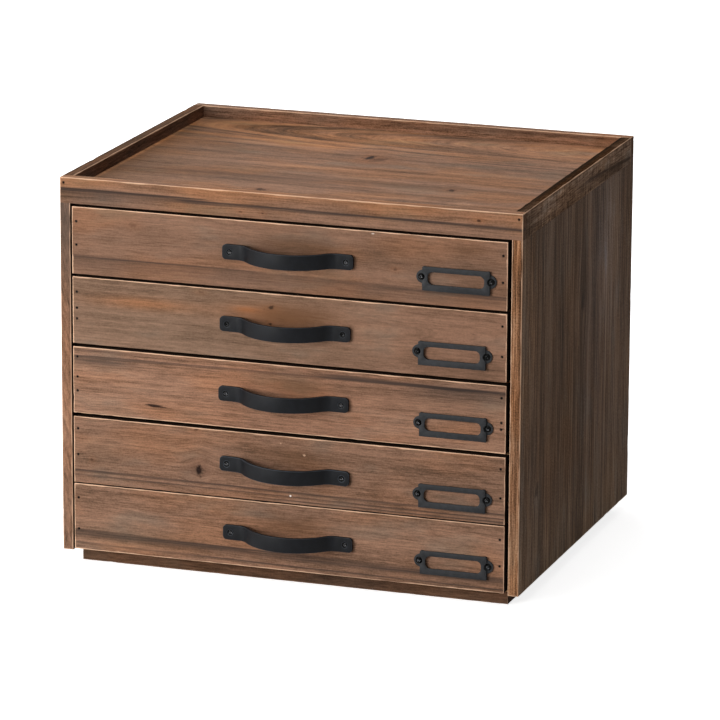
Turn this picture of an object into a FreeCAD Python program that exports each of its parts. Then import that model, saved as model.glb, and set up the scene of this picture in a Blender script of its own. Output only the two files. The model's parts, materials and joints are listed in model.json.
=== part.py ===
import FreeCAD, Part
import math
import os
import Sketcher

# Table-top cabinet with document drawers, a tray on top and a set-back plinth.
# Millimetres and degrees. The front faces -Y, +X is to the right and +Z is up.
# The cabinet stands on Z = 0, and X = Y = 0 is the middle of its box, handles included.

# Driving sizes
sizes = {
    "cabinet_width": 350,
    "cabinet_depth": 280,
    "cabinet_height": 290,
    "side_panel_thickness": 8,
    "tray_depth": 9,
    "top_board_thickness": 10,
    "tray_rail_thickness": 8,
    "tray_rail_rebate": 4,
    "bottom_board_thickness": 9,
    "bottom_housing_depth": 3,
    "back_panel_thickness": 4,
    "back_rabbet_width": 4,
    "plinth_height": 10,
    "plinth_inset": 11,
    "plinth_strip_width": 20,
    "runner_height": 9,
    "runner_width": 9.5,
    "running_clearance": 0.3,
    "stop_clearance": 0.3,
    "drawer_left_clearance": 1.2,
    "drawer_right_clearance": 2.8,
    "drawer_top_clearance": 1.9,
    "drawer_rear_clearance": 5,
    "drawer_front_thickness": 9,
    "drawer_front_play": 2.2,
    "drawer_side_thickness": 7.5,
    "drawer_back_thickness": 7,
    "drawer_bottom_thickness": 3,
    "groove_lift": 3,
    "groove_depth": 3,
    "groove_clearance": 0.2,
    "handle_length": 99,
    "handle_width": 11,
    "handle_thickness": 2.5,
    "handle_reach": 20,
    "handle_pad_length": 12,
    "handle_foot_radius": 9,
    "handle_corner_radius": 2.8,
    "handle_screw_inset": 5.5,
    "label_width": 50,
    "label_height": 17.4,
    "label_thickness": 2,
    "label_flange_thickness": 0.8,
    "label_corner_radius": 1,
    "label_ear_radius": 4.75,
    "label_shoulder_radius": 1.8,
    "label_screw_offset": 1,
    "label_screw_drop": 7.6,
    "label_scallop_clearance": 0.4,
    "label_side_bar": 4,
    "label_top_bar": 3.7,
    "label_bottom_bar": 4.5,
    "label_window_radius": 3.6,
    "card_slot_depth": 1,
    "card_slot_margin": 1.8,
    "screw_diameter": 2.4,
    "screw_length": 8,
    "screw_clearance": 0.1,
    "round_head_diameter": 5,
    "round_head_height": 1.7,
    "flat_head_diameter": 4.4,
    "flat_head_height": 1.2,
    "recess_width": 0.7,
    "recess_length": 2.6,
    "recess_depth": 0.8,
    "nail_diameter": 1.4,
    "nail_clearance": 0.05,
    "nail_set": 0.3,
    "nail_bite": 11,
    "short_nail_bite": 5,
    "drawer_nail_inset": 3.4,
    "drawer_back_nail_inset": 10,
    "rail_nail_inset": 3,
    "rail_nail_drop": 4,
    "runner_nail_inset": 32,
    "back_panel_nail_inset": 22,
    "plinth_nail_inset": 45,
}

# What differs from drawer to drawer, from the top one down. Front lift is measured from the
# underside of the strip that carries the drawer, handle shift from the middle of the front,
# label inset from its right end, and label lift from its lower edge to the label's screws.
# Each nail is measured from the top or lower edge, or the middle, of the drawer's side.
drawers = [
    {
        "front_lift": 0.2,
        "handle_shift": 1.2,
        "handle_lift": 1.3,
        "handle_tilt": 0.2,
        "label_inset": 37.7,
        "label_lift": 20.4,
        "left_nails": [("top", 11.0), ("low", 12.6)],
        "right_nails": [("top", 10.2), ("low", 11.4)],
    },
    {
        "front_lift": 0.5,
        "handle_shift": -0.8,
        "handle_lift": 0.1,
        "handle_tilt": 0.1,
        "label_inset": 40.3,
        "label_lift": 17.7,
        "left_nails": [("top", 11.2), ("middle", -2.7), ("low", 9.8)],
        "right_nails": [("top", 9.1), ("low", 9.8)],
    },
    {
        "front_lift": 0.4,
        "handle_shift": -1.9,
        "handle_lift": 0.4,
        "handle_tilt": 0.3,
        "label_inset": 39.1,
        "label_lift": 17.6,
        "left_nails": [("top", 7.5), ("middle", -2.0), ("low", 8.0)],
        "right_nails": [("top", 9.1), ("low", 13.7), ("low", 8.8)],
    },
    {
        "front_lift": 0.0,
        "handle_shift": -1.2,
        "handle_lift": -0.5,
        "handle_tilt": 1.7,
        "label_inset": 39.3,
        "label_lift": 17.5,
        "left_nails": [("top", 9.4), ("low", 12.0)],
        "right_nails": [("top", 9.2), ("low", 10.3)],
    },
    {
        "front_lift": 1.4,
        "handle_shift": 1.4,
        "handle_lift": -0.1,
        "handle_tilt": 0.4,
        "label_inset": 37.7,
        "label_lift": 18.8,
        "left_nails": [("top", 9.7), ("low", 7.6)],
        "right_nails": [("top", 9.2), ("low", 12.1)],
    },
]
drawer_count = len(drawers)

doc = FreeCAD.newDocument("DrawerCabinet")
sheet = doc.addObject("Spreadsheet::Sheet", "Sizes")
layout = doc.addObject("App::VarSet", "Layout")
pieces = []


# One row of the sheet: the name of a size and its number
def write_size(row, alias, value):
    sheet.set(f"A{row}", alias)
    sheet.set(f"B{row}", str(value))
    sheet.setAlias(f"B{row}", alias)


# Every size of one drawer by its alias, its nails among them
def drawer_rows(number, drawer):
    for key, value in drawer.items():
        if not key.endswith("_nails"):
            yield f"drawer_{number}_{key}", value
            continue
        for count, (_, offset) in enumerate(value, 1):
            yield f"drawer_{number}_{key}_{count}", offset


def fill_sheet():
    rows = list(sizes.items())
    for number, drawer in enumerate(drawers, 1):
        rows += drawer_rows(number, drawer)
    for row, (alias, value) in enumerate(rows, 1):
        write_size(row, alias, value)
    doc.recompute()


# A worked-out size or place, bound to the sheet
def derive(name, expression):
    layout.addProperty("App::PropertyFloat", name, "Layout")
    layout.setExpression(name, expression)
    return f"Layout.{name}"


def value_of(expression):
    return float(layout.evalExpression(expression))


fill_sheet()

# Faces of the carcass
front_face = derive("front_face", "-(Sizes.cabinet_depth - Sizes.handle_reach) / 2")
back_face = derive("back_face", f"{front_face} + Sizes.cabinet_depth")
back_inner = derive("back_inner", f"{back_face} - Sizes.back_panel_thickness")
panel_outer = derive("panel_outer", "Sizes.cabinet_width / 2")
panel_inner = derive("panel_inner", f"{panel_outer} - Sizes.side_panel_thickness")
carcass_low = "Sizes.plinth_height"
rail_height = "(Sizes.tray_depth + Sizes.top_board_thickness)"
opening_top = derive("opening_top", f"Sizes.cabinet_height - {rail_height}")
bottom_top = derive("bottom_top", f"{carcass_low} + Sizes.bottom_board_thickness")
stop_face = derive("stop_face", f"{front_face} + Sizes.drawer_front_thickness + Sizes.stop_clearance")

# The drawer bays, one above the other with a pair of runners between two of them
bay_height = derive(
    "bay_height",
    f"({opening_top} - {bottom_top} - {drawer_count - 1} * Sizes.runner_height) / {drawer_count}",
)
bay_pitch = derive("bay_pitch", f"{bay_height} + Sizes.runner_height")
drawer_left = derive("drawer_left", f"-{panel_inner} + Sizes.drawer_left_clearance")
drawer_right = derive("drawer_right", f"{panel_inner} - Sizes.drawer_right_clearance")
side_front = derive("side_front", f"{front_face} + Sizes.drawer_front_thickness")
side_back = derive("side_back", f"{back_inner} - Sizes.drawer_rear_clearance")
side_height = derive(
    "side_height",
    f"{bay_height} - Sizes.running_clearance - Sizes.drawer_top_clearance",
)

# Distances between the two screws of a handle and of a label holder
handle_spacing = derive("handle_spacing", "Sizes.handle_length - 2 * Sizes.handle_screw_inset")
label_spacing = derive("label_spacing", "Sizes.label_width + 2 * Sizes.label_screw_offset")

# A nail or screw points along one of these directions: the axis and the angle that turn +Z to it
turns = {
    "+X": (FreeCAD.Vector(0, 1, 0), 90),
    "-X": (FreeCAD.Vector(0, 1, 0), -90),
    "+Y": (FreeCAD.Vector(1, 0, 0), -90),
    "-Y": (FreeCAD.Vector(1, 0, 0), 90),
    "+Z": (FreeCAD.Vector(0, 0, 1), 0),
}


def place(thing, at):
    for axis, expression in zip("xyz", at):
        thing.setExpression(f"Placement.Base.{axis}", expression)


# A box between two faces in each direction
def block(name, x_faces, y_faces, z_faces):
    box = doc.addObject("Part::Box", name)
    for side, (low, high) in zip(("Length", "Width", "Height"), (x_faces, y_faces, z_faces)):
        box.setExpression(side, f"{high} - ({low})")
    place(box, (x_faces[0], y_faces[0], z_faces[0]))
    return box


def pin(name, at, direction, radius, length):
    rod = doc.addObject("Part::Cylinder", name)
    rod.setExpression("Radius", radius)
    rod.setExpression("Height", length)
    rod.Placement.Rotation = FreeCAD.Rotation(*turns[direction])
    place(rod, at)
    return rod


# A headless nail and the hole that it fills, through one board and into the next.
# The nail is punched a little below the face that it is driven from.
def nail(name, at, direction, board_thickness, bite="Sizes.nail_bite"):
    length = f"{board_thickness} + {bite}"
    radius = "Sizes.nail_diameter / 2"
    sunk = list(at)
    sign, axis = direction
    sunk["XYZ".index(axis)] += f" {sign} Sizes.nail_set"
    shank = pin(name, sunk, direction, radius, f"{length} - Sizes.nail_set")
    hole = pin(
        f"{name}_hole",
        at,
        direction,
        f"{radius} + Sizes.nail_clearance",
        f"{length} + Sizes.nail_clearance",
    )
    return shank, hole


def keep(thing, label):
    thing.Label = label
    pieces.append(thing)
    return thing


# A board with its rabbets, grooves and holes taken out
def cut(name, blank, tools):
    tool = doc.addObject("Part::MultiFuse", f"{name}_cuts")
    tool.Shapes = tools
    board = doc.addObject("Part::Cut", name)
    board.Base = blank
    board.Tool = tool
    return board


def cut_board(label, blank, tools):
    return keep(cut(label, blank, tools), label)


def group(label, members):
    compound = doc.addObject("Part::Compound", label)
    compound.Links = members
    return keep(compound, label)


# Shank and cross recess that both kinds of screw share. A round head sits on Z = 0 and a flat one
# lies below it.
def screw_shank(name, top):
    return pin(f"{name}_shank", ("0", "0", f"{top} - Sizes.screw_length"), "+Z",
               "Sizes.screw_diameter / 2", "Sizes.screw_length")


def screw_recess(name, top):
    half_width = "Sizes.recess_width / 2"
    half_length = "Sizes.recess_length / 2"
    across = (f"-{half_width}", half_width)
    along = (f"-{half_length}", half_length)
    depth = (f"{top} - Sizes.recess_depth", f"{top} + Sizes.recess_depth")
    recess = doc.addObject("Part::MultiFuse", f"{name}_recess")
    recess.Shapes = [
        block(f"{name}_slot_1", across, along, depth),
        block(f"{name}_slot_2", along, across, depth),
    ]
    return recess


def finish_screw(name, parts, top):
    solid = doc.addObject("Part::MultiFuse", f"{name}_solid")
    solid.Shapes = parts
    screw = doc.addObject("Part::Cut", name)
    screw.Base = solid
    screw.Tool = screw_recess(name, top)
    return screw


# Round-headed screw: a dome that sits on Z = 0
def round_screw():
    head_radius = "Sizes.round_head_diameter / 2"
    dome = derive(
        "dome_radius",
        f"(({head_radius})^2 + Sizes.round_head_height^2) / (2 * Sizes.round_head_height)",
    )
    head = doc.addObject("Part::Sphere", "round_screw_head")
    head.setExpression("Radius", dome)
    head.setExpression("Angle1", f"asin(({dome} - Sizes.round_head_height) / {dome})")
    place(head, ("0", "0", f"Sizes.round_head_height - {dome}"))
    return finish_screw("round_screw", [head, screw_shank("round_screw", "0")],
                        "Sizes.round_head_height")


# Flat-headed screw: its head lies below Z = 0 and fills a countersink
def flat_screw():
    head = doc.addObject("Part::Cone", "flat_screw_head")
    head.setExpression("Radius1", "Sizes.screw_diameter / 2")
    head.setExpression("Radius2", "Sizes.flat_head_diameter / 2")
    head.setExpression("Height", "Sizes.flat_head_height")
    place(head, ("0", "0", "-Sizes.flat_head_height"))
    shank = screw_shank("flat_screw", "-Sizes.flat_head_height")
    return finish_screw("flat_screw", [head, shank], "0")


# One screw at its place on a drawer front, its head towards the front
def screw_at(screw, name, at):
    copy = doc.addObject("App::Link", name)
    copy.LinkedObject = screw
    copy.Placement = FreeCAD.Placement(FreeCAD.Vector(), FreeCAD.Rotation(*turns["-Y"]))
    place(copy, at)
    return copy


def screw_hole(name, at, length):
    return pin(name, at, "+Y", "Sizes.screw_diameter / 2 + Sizes.screw_clearance", length)


# A sketch on one of its body's own planes, raised along the plane's normal
def plane_sketch(body, name, role, lift="0"):
    plane = next(item for item in body.Origin.OriginFeatures if item.Role == role)
    sketch = body.newObject("Sketcher::SketchObject", name)
    sketch.AttachmentSupport = (plane, [""])
    sketch.MapMode = "FlatFace"
    sketch.setExpression("AttachmentOffset.Base.z", lift)
    return sketch


# A sketch dimension tied to the sheet. The ends are (geometry, point) pairs.
def dimension(sketch, kind, name, expression, *ends):
    arguments = [number for end in ends for number in end]
    index = sketch.addConstraint(Sketcher.Constraint(kind, *arguments, value_of(expression)))
    sketch.renameConstraint(index, name)
    sketch.setExpression(f"Constraints.{name}", expression)


# The middle of a sketch, and its two axes, the one across first
origin_point = (-1, 1)
sketch_axes = (-1, -2)


# A rectangle about the vertical axis, from below the horizontal axis to above it
def rectangle(sketch, half_width, below, above):
    right = value_of(half_width)
    low = -value_of(below)
    high = value_of(above)
    corners = [
        FreeCAD.Vector(-right, low, 0),
        FreeCAD.Vector(right, low, 0),
        FreeCAD.Vector(right, high, 0),
        FreeCAD.Vector(-right, high, 0),
    ]
    for start, end in zip(corners, corners[1:] + corners[:1]):
        sketch.addGeometry(Part.LineSegment(start, end))
    bottom, right_side, top, left_side = range(4)
    for line, following in ((bottom, right_side), (right_side, top), (top, left_side), (left_side, bottom)):
        sketch.addConstraint(Sketcher.Constraint("Coincident", line, 2, following, 1))
    for line in (bottom, top):
        sketch.addConstraint(Sketcher.Constraint("Horizontal", line))
    for line in (right_side, left_side):
        sketch.addConstraint(Sketcher.Constraint("Vertical", line))
    dimension(sketch, "DistanceX", "left_half", half_width, (bottom, 1), origin_point)
    dimension(sketch, "DistanceX", "right_half", half_width, origin_point, (top, 1))
    dimension(sketch, "DistanceY", "below", below, (bottom, 1), origin_point)
    dimension(sketch, "DistanceY", "above", above, origin_point, (top, 1))


# Two equal circles on the horizontal axis, one each side of the middle
def circle_pair(sketch, spacing, radius):
    reach = value_of(spacing) / 2
    for middle in (-reach, reach):
        centre = FreeCAD.Vector(middle, 0, 0)
        sketch.addGeometry(Part.Circle(centre, FreeCAD.Vector(0, 0, 1), value_of(radius)))
    left, right = range(2)
    horizontal_axis, vertical_axis = sketch_axes
    sketch.addConstraint(Sketcher.Constraint("PointOnObject", left, 3, horizontal_axis))
    sketch.addConstraint(Sketcher.Constraint("Equal", left, right))
    sketch.addConstraint(Sketcher.Constraint("Symmetric", left, 3, right, 3, vertical_axis))
    dimension(sketch, "DistanceX", "spacing", spacing, (left, 3), (right, 3))
    dimension(sketch, "Radius", "radius", radius, (left,))


def pad(body, sketch, name, length, midplane=False):
    feature = body.newObject("PartDesign::Pad", name)
    feature.Profile = sketch
    feature.SideType = "Symmetric" if midplane else "One side"
    feature.setExpression("Length", length)
    doc.recompute()
    return feature


# A pocket cut from the sketch into the solid; it has to take something away
def pocket(body, sketch, name, depth, against_normal=True):
    before = body.Shape.Volume
    feature = body.newObject("PartDesign::Pocket", name)
    feature.Profile = sketch
    feature.Reversed = not against_normal
    feature.setExpression("Length", depth)
    doc.recompute()
    if not body.Shape.Volume < before:
        raise RuntimeError(f"{name} cuts nothing")
    return feature


def round_edges(body, base, name, edge_names, radius):
    fillet = body.newObject("PartDesign::Fillet", name)
    fillet.Base = (base, edge_names)
    fillet.setExpression("Radius", radius)
    doc.recompute()
    return fillet


# Names of the straight edges along one direction that a test picks by their middle
def edges_along(shape, direction, picked):
    names = []
    for index, edge in enumerate(shape.Edges, 1):
        if edge.Curve.TypeId != "Part::GeomLine":
            continue
        along = edge.tangentAt(edge.FirstParameter)
        if abs(along.dot(direction)) > 0.999 and picked(edge.CenterOfMass):
            names.append(f"Edge{index}")
    return names


# Half of the strap seen from above: a flat pad, a foot bent outwards and half of the crown
def handle_profile(sketch):
    end = value_of("Sizes.handle_length / 2")
    foot = end - value_of("Sizes.handle_pad_length")
    thickness = value_of("Sizes.handle_thickness")
    reach = value_of("Sizes.handle_reach")
    foot_radius = value_of("Sizes.handle_foot_radius")
    rise = reach - thickness
    crown_radius = (foot ** 2 + rise ** 2) / (2 * rise) - foot_radius
    foot_centre = FreeCAD.Vector(foot, -thickness - foot_radius, 0)
    crown_centre = FreeCAD.Vector(0, crown_radius - reach, 0)
    between = crown_centre - foot_centre
    foot_turn = math.atan2(between.y, between.x)
    up = FreeCAD.Vector(0, 0, 1)

    def line(x_1, y_1, x_2, y_2):
        start = FreeCAD.Vector(x_1, y_1, 0)
        return sketch.addGeometry(Part.LineSegment(start, FreeCAD.Vector(x_2, y_2, 0)))

    def arc(centre, radius, start, stop):
        return sketch.addGeometry(Part.ArcOfCircle(Part.Circle(centre, up, radius), start, stop))

    pad_outer = line(end, -thickness, foot, -thickness)
    foot_outer = arc(foot_centre, foot_radius, math.pi / 2, foot_turn)
    crown_outer = arc(crown_centre, crown_radius, -math.pi / 2, foot_turn - math.pi)
    middle = line(0, -reach, 0, -reach + thickness)
    crown_inner = arc(crown_centre, crown_radius - thickness, -math.pi / 2, foot_turn - math.pi)
    foot_inner = arc(foot_centre, foot_radius + thickness, math.pi / 2, foot_turn)
    pad_inner = line(foot, 0, end, 0)
    pad_end = line(end, 0, end, -thickness)
    horizontal_axis, vertical_axis = sketch_axes
    joints = [
        ("Tangent", pad_outer, 2, foot_outer, 1),
        ("Tangent", foot_outer, 2, crown_outer, 2),
        ("Coincident", crown_outer, 1, middle, 1),
        ("Coincident", middle, 2, crown_inner, 1),
        ("Tangent", crown_inner, 2, foot_inner, 2),
        ("Tangent", foot_inner, 1, pad_inner, 1),
        ("Coincident", pad_inner, 2, pad_end, 1),
        ("Coincident", pad_end, 2, pad_outer, 1),
        ("Coincident", foot_outer, 3, foot_inner, 3),
        ("Coincident", crown_outer, 3, crown_inner, 3),
        ("Horizontal", pad_outer),
        ("Vertical", middle),
        ("Vertical", pad_end),
        ("PointOnObject", pad_inner, 1, horizontal_axis),
        ("PointOnObject", pad_inner, 2, horizontal_axis),
        ("PointOnObject", crown_outer, 1, vertical_axis),
        ("PointOnObject", crown_outer, 3, vertical_axis),
    ]
    for joint in joints:
        sketch.addConstraint(Sketcher.Constraint(*joint))
    dimension(sketch, "DistanceX", "half_length", "Sizes.handle_length / 2", origin_point, (pad_inner, 2))
    dimension(sketch, "DistanceX", "pad_length", "Sizes.handle_pad_length", (pad_inner, 1), (pad_inner, 2))
    dimension(sketch, "DistanceY", "thickness", "Sizes.handle_thickness", (pad_end, 2), (pad_end, 1))
    dimension(sketch, "DistanceY", "reach", "Sizes.handle_reach", (crown_outer, 1), origin_point)
    dimension(sketch, "Radius", "foot_radius", "Sizes.handle_foot_radius", (foot_outer,))


# A strap handle about its own middle, with its back on Y = 0
def handle(label, at, tilt):
    body = doc.addObject("PartDesign::Body", label)
    profile = plane_sketch(body, f"{label}_profile", "XY_Plane")
    handle_profile(profile)
    half = pad(body, profile, f"{label}_half", "Sizes.handle_width", midplane=True)
    whole = body.newObject("PartDesign::Mirrored", f"{label}_whole")
    whole.Originals = [half]
    mirror = next(item for item in body.Origin.OriginFeatures if item.Role == "YZ_Plane")
    whole.MirrorPlane = (mirror, [""])
    body.Tip = whole
    doc.recompute()
    near_end = value_of("(Sizes.handle_length - Sizes.handle_pad_length) / 2")
    corners = edges_along(whole.Shape, FreeCAD.Vector(0, 1, 0), lambda middle: abs(middle.x) > near_end)
    round_edges(body, whole, f"{label}_corners", corners, "Sizes.handle_corner_radius")
    centres = plane_sketch(body, f"{label}_centres", "XZ_Plane", "Sizes.handle_thickness")
    circle_pair(centres, handle_spacing, "Sizes.screw_diameter / 2")
    doc.recompute()
    holes = body.newObject("PartDesign::Hole", f"{label}_holes")
    holes.Profile = centres
    doc.recompute()
    holes.DepthType = "ThroughAll"
    holes.HoleCutType = "Countersink"
    holes.setExpression("Diameter", "Sizes.screw_diameter + 2 * Sizes.screw_clearance")
    holes.setExpression("HoleCutDiameter", "Sizes.flat_head_diameter + 2 * Sizes.screw_clearance")
    slope = "(Sizes.flat_head_diameter - Sizes.screw_diameter) / (2 * Sizes.flat_head_height)"
    holes.setExpression("HoleCutCountersinkAngle", f"2 * atan({slope})")
    body.Placement.Rotation = FreeCAD.Rotation(FreeCAD.Vector(0, 1, 0), 1)
    body.setExpression("Placement.Rotation.Angle", tilt)
    place(body, at)
    doc.recompute()
    return keep(body, label)


# A pressed card holder about the middle between its screws, with its back on Y = 0:
# a raised frame with a window, thin ears that flare into it and a card slot behind the frame,
# open at the top
def label_holder(label, at):
    body = doc.addObject("PartDesign::Body", label)
    below = "(Sizes.label_height - Sizes.label_screw_drop)"
    above = "Sizes.label_screw_drop"
    frame = plane_sketch(body, f"{label}_frame", "XZ_Plane")
    rectangle(frame, "Sizes.label_width / 2", below, above)
    pad(body, frame, f"{label}_raised", "Sizes.label_thickness")
    scallops = plane_sketch(body, f"{label}_scallops", "XZ_Plane", "Sizes.label_thickness")
    circle_pair(scallops, label_spacing, "Sizes.round_head_diameter / 2 + Sizes.label_scallop_clearance")
    raised = "Sizes.label_thickness - Sizes.label_flange_thickness"
    pocket(body, scallops, f"{label}_scallop_cut", raised)
    ears = plane_sketch(body, f"{label}_ears", "XZ_Plane")
    circle_pair(ears, "Sizes.label_width", "Sizes.label_ear_radius")
    flange = pad(body, ears, f"{label}_flange", "Sizes.label_flange_thickness")
    out = FreeCAD.Vector(0, 1, 0)
    frame_edge = value_of("Sizes.label_width / 2")
    flange_face = -value_of("Sizes.label_flange_thickness")

    def on_frame_edge(middle):
        return math.isclose(abs(middle.x), frame_edge, abs_tol=1e-6)

    corners = edges_along(flange.Shape, out, lambda middle: on_frame_edge(middle) and middle.y > flange_face)
    shoulders = round_edges(body, flange, f"{label}_shoulders", corners, "Sizes.label_shoulder_radius")
    top_edge = value_of(above)
    corners = edges_along(
        shoulders.Shape,
        out,
        lambda middle: on_frame_edge(middle) and math.isclose(middle.z, top_edge, abs_tol=1e-6),
    )
    round_edges(body, shoulders, f"{label}_corners", corners, "Sizes.label_corner_radius")
    slot = plane_sketch(body, f"{label}_slot", "XZ_Plane")
    window_half = "(Sizes.label_width / 2 - Sizes.label_side_bar)"
    window_below = f"({below} - Sizes.label_bottom_bar)"
    slot_below = f"({window_below} + Sizes.card_slot_margin)"
    rectangle(slot, f"{window_half} + Sizes.card_slot_margin", slot_below, above)
    pocket(body, slot, f"{label}_card_slot", "Sizes.card_slot_depth", against_normal=False)
    window = plane_sketch(body, f"{label}_window", "XZ_Plane")
    rectangle(window, window_half, window_below, f"{above} - Sizes.label_top_bar")
    opening = pocket(body, window, f"{label}_window_cut", "Sizes.label_thickness", against_normal=False)
    window_edge = value_of(window_half)
    corners = edges_along(
        opening.Shape,
        out,
        lambda middle: math.isclose(abs(middle.x), window_edge, abs_tol=1e-6),
    )
    round_edges(body, opening, f"{label}_window_corners", corners, "Sizes.label_window_radius")
    holes = plane_sketch(body, f"{label}_holes", "XZ_Plane")
    circle_pair(holes, label_spacing, "Sizes.screw_diameter / 2 + Sizes.screw_clearance")
    pocket(body, holes, f"{label}_hole_cut", "Sizes.label_flange_thickness", against_normal=False)
    place(body, at)
    doc.recompute()
    return keep(body, label)


# Boards with a sign of -1 are on the left, those with +1 on the right
hands = {"left": -1, "right": 1}


# The two faces of a board that lies this far in on one side, in rising order
def mirrored_faces(sign, inner, outer):
    if sign > 0:
        return inner, outer
    return f"-({outer})", f"-({inner})"


# Top board, and the rails round it with a rebate that it fills
def tray():
    nails = []
    rail_low = opening_top
    rail_top = "Sizes.cabinet_height"
    thickness = "Sizes.tray_rail_thickness"
    rebate_top = f"{opening_top} + Sizes.top_board_thickness"
    floor_edge = f"({panel_outer} - {thickness} + Sizes.tray_rail_rebate)"
    floor_front = f"({front_face} + {thickness} - Sizes.tray_rail_rebate)"
    floor_back = f"({back_face} - {thickness} + Sizes.tray_rail_rebate)"
    floor = block(
        "top_board",
        (f"-{floor_edge}", floor_edge),
        (floor_front, floor_back),
        (rail_low, rebate_top),
    )
    keep(floor, "top_board")
    holes = {"front": [], "back": [], "left": [], "right": []}
    rail_ends = {"front": (front_face, "+Y"), "back": (back_face, "-Y")}
    for hand, sign in hands.items():
        for end, (face, direction) in rail_ends.items():
            across = f"{sign} * ({panel_outer} - Sizes.rail_nail_inset)"
            at = (across, face, f"{rail_top} - Sizes.rail_nail_drop")
            shank, hole = nail(f"{end}_rail_{hand}_nail", at, direction, thickness)
            nails.append(shank)
            holes[end].append(hole)
            holes[hand].append(hole)
    full = (f"-{panel_outer}", panel_outer)
    faces = {
        "front": (front_face, f"({front_face} + {thickness})"),
        "back": (f"({back_face} - {thickness})", back_face),
    }
    for end, rail_faces in faces.items():
        label = f"tray_{end}_rail"
        blank = block(f"{label}_blank", full, rail_faces, (rail_low, rail_top))
        cut_board(label, blank, [floor] + holes[end])
    for hand, sign in hands.items():
        label = f"tray_{hand}_rail"
        across = mirrored_faces(sign, f"{panel_outer} - {thickness}", panel_outer)
        along = (faces["front"][1], faces["back"][0])
        blank = block(f"{label}_blank", across, along, (rail_low, rail_top))
        cut_board(label, blank, [floor] + holes[hand])
    return nails


def runners():
    nails = []
    holes = {"left": [], "right": []}
    for number in range(1, drawer_count):
        low = f"{bottom_top} + {drawer_count - number} * {bay_pitch} - Sizes.runner_height"
        heights = (low, f"({low} + Sizes.runner_height)")
        strips = []
        for hand, sign in hands.items():
            name = f"runner_{number}_{hand}"
            inner = f"{panel_inner} - Sizes.runner_width"
            faces = mirrored_faces(sign, inner, panel_inner)
            blank = block(f"{name}_blank", faces, (stop_face, back_inner), heights)
            direction = "+X" if sign > 0 else "-X"
            ends = {
                "front": f"{stop_face} + Sizes.runner_nail_inset",
                "back": f"{back_inner} - Sizes.runner_nail_inset",
            }
            tools = []
            for end, along in ends.items():
                at = (f"{sign} * ({inner})", along, f"{low} + Sizes.runner_height / 2")
                shank, hole = nail(
                    f"{name}_{end}_nail", at, direction, "Sizes.runner_width", "Sizes.short_nail_bite"
                )
                nails.append(shank)
                tools.append(hole)
            holes[hand] += tools
            strips.append(cut(name, blank, tools))
        group(f"runner_pair_{number}", strips)
    return nails, holes


# Nails that hold the back panel to the side panels and to the bottom board
def back_panel_nails():
    nails = []
    holes = {"left": [], "right": [], "bottom": []}
    thickness = "Sizes.back_panel_thickness"
    rows = 4
    columns = 3
    low = f"({bottom_top} + Sizes.back_panel_nail_inset)"
    high = f"({opening_top} - Sizes.back_panel_nail_inset)"
    for hand, sign in hands.items():
        across = f"{sign} * ({panel_inner} + Sizes.back_rabbet_width / 2)"
        for row in range(rows):
            height = f"{low} + ({high} - {low}) * {row} / {rows - 1}"
            at = (across, back_face, height)
            shank, hole = nail(f"back_{hand}_nail_{row + 1}", at, "-Y", thickness)
            nails.append(shank)
            holes[hand].append(hole)
    reach = f"({panel_inner} - Sizes.back_panel_nail_inset)"
    for column in range(columns):
        across = f"{reach} * {2 * column / (columns - 1) - 1}"
        at = (across, back_face, f"{carcass_low} + Sizes.bottom_board_thickness / 2")
        shank, hole = nail(f"back_bottom_nail_{column + 1}", at, "-Y", thickness)
        nails.append(shank)
        holes["bottom"].append(hole)
    return nails, holes


# The plinth's four strips, nailed up into the bottom board
def plinth():
    nails = []
    all_holes = []
    outer = f"({panel_outer} - Sizes.plinth_inset)"
    inner = f"({outer} - Sizes.plinth_strip_width)"
    front = f"({front_face} + Sizes.plinth_inset)"
    back = f"({back_face} - Sizes.plinth_inset)"
    width = "Sizes.plinth_strip_width"
    strips = {
        "front": ((f"-{outer}", outer), (front, f"({front} + {width})")),
        "back": ((f"-{outer}", outer), (f"({back} - {width})", back)),
        "left": ((f"-{outer}", f"-{inner}"), (f"({front} + {width})", f"({back} - {width})")),
        "right": ((inner, outer), (f"({front} + {width})", f"({back} - {width})")),
    }
    for side, (x_faces, y_faces) in strips.items():
        label = f"plinth_{side}"
        blank = block(f"{label}_blank", x_faces, y_faces, ("0", "Sizes.plinth_height"))
        x_middle = f"({x_faces[0]} + {x_faces[1]}) / 2"
        y_middle = f"({y_faces[0]} + {y_faces[1]}) / 2"
        inset = "Sizes.plinth_nail_inset"
        if side in hands:
            places = [(x_middle, f"{y_faces[0]} + {inset}"), (x_middle, f"{y_faces[1]} - {inset}")]
        else:
            places = [(f"{x_faces[0]} + {inset}", y_middle), (f"{x_faces[1]} - {inset}", y_middle)]
        holes = []
        for count, (across, along) in enumerate(places, 1):
            shank, hole = nail(
                f"{label}_nail_{count}", (across, along, "0"), "+Z",
                "Sizes.plinth_height", "Sizes.short_nail_bite",
            )
            nails.append(shank)
            holes.append(hole)
        cut_board(label, blank, holes)
        all_holes += holes
    return nails, all_holes


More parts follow.
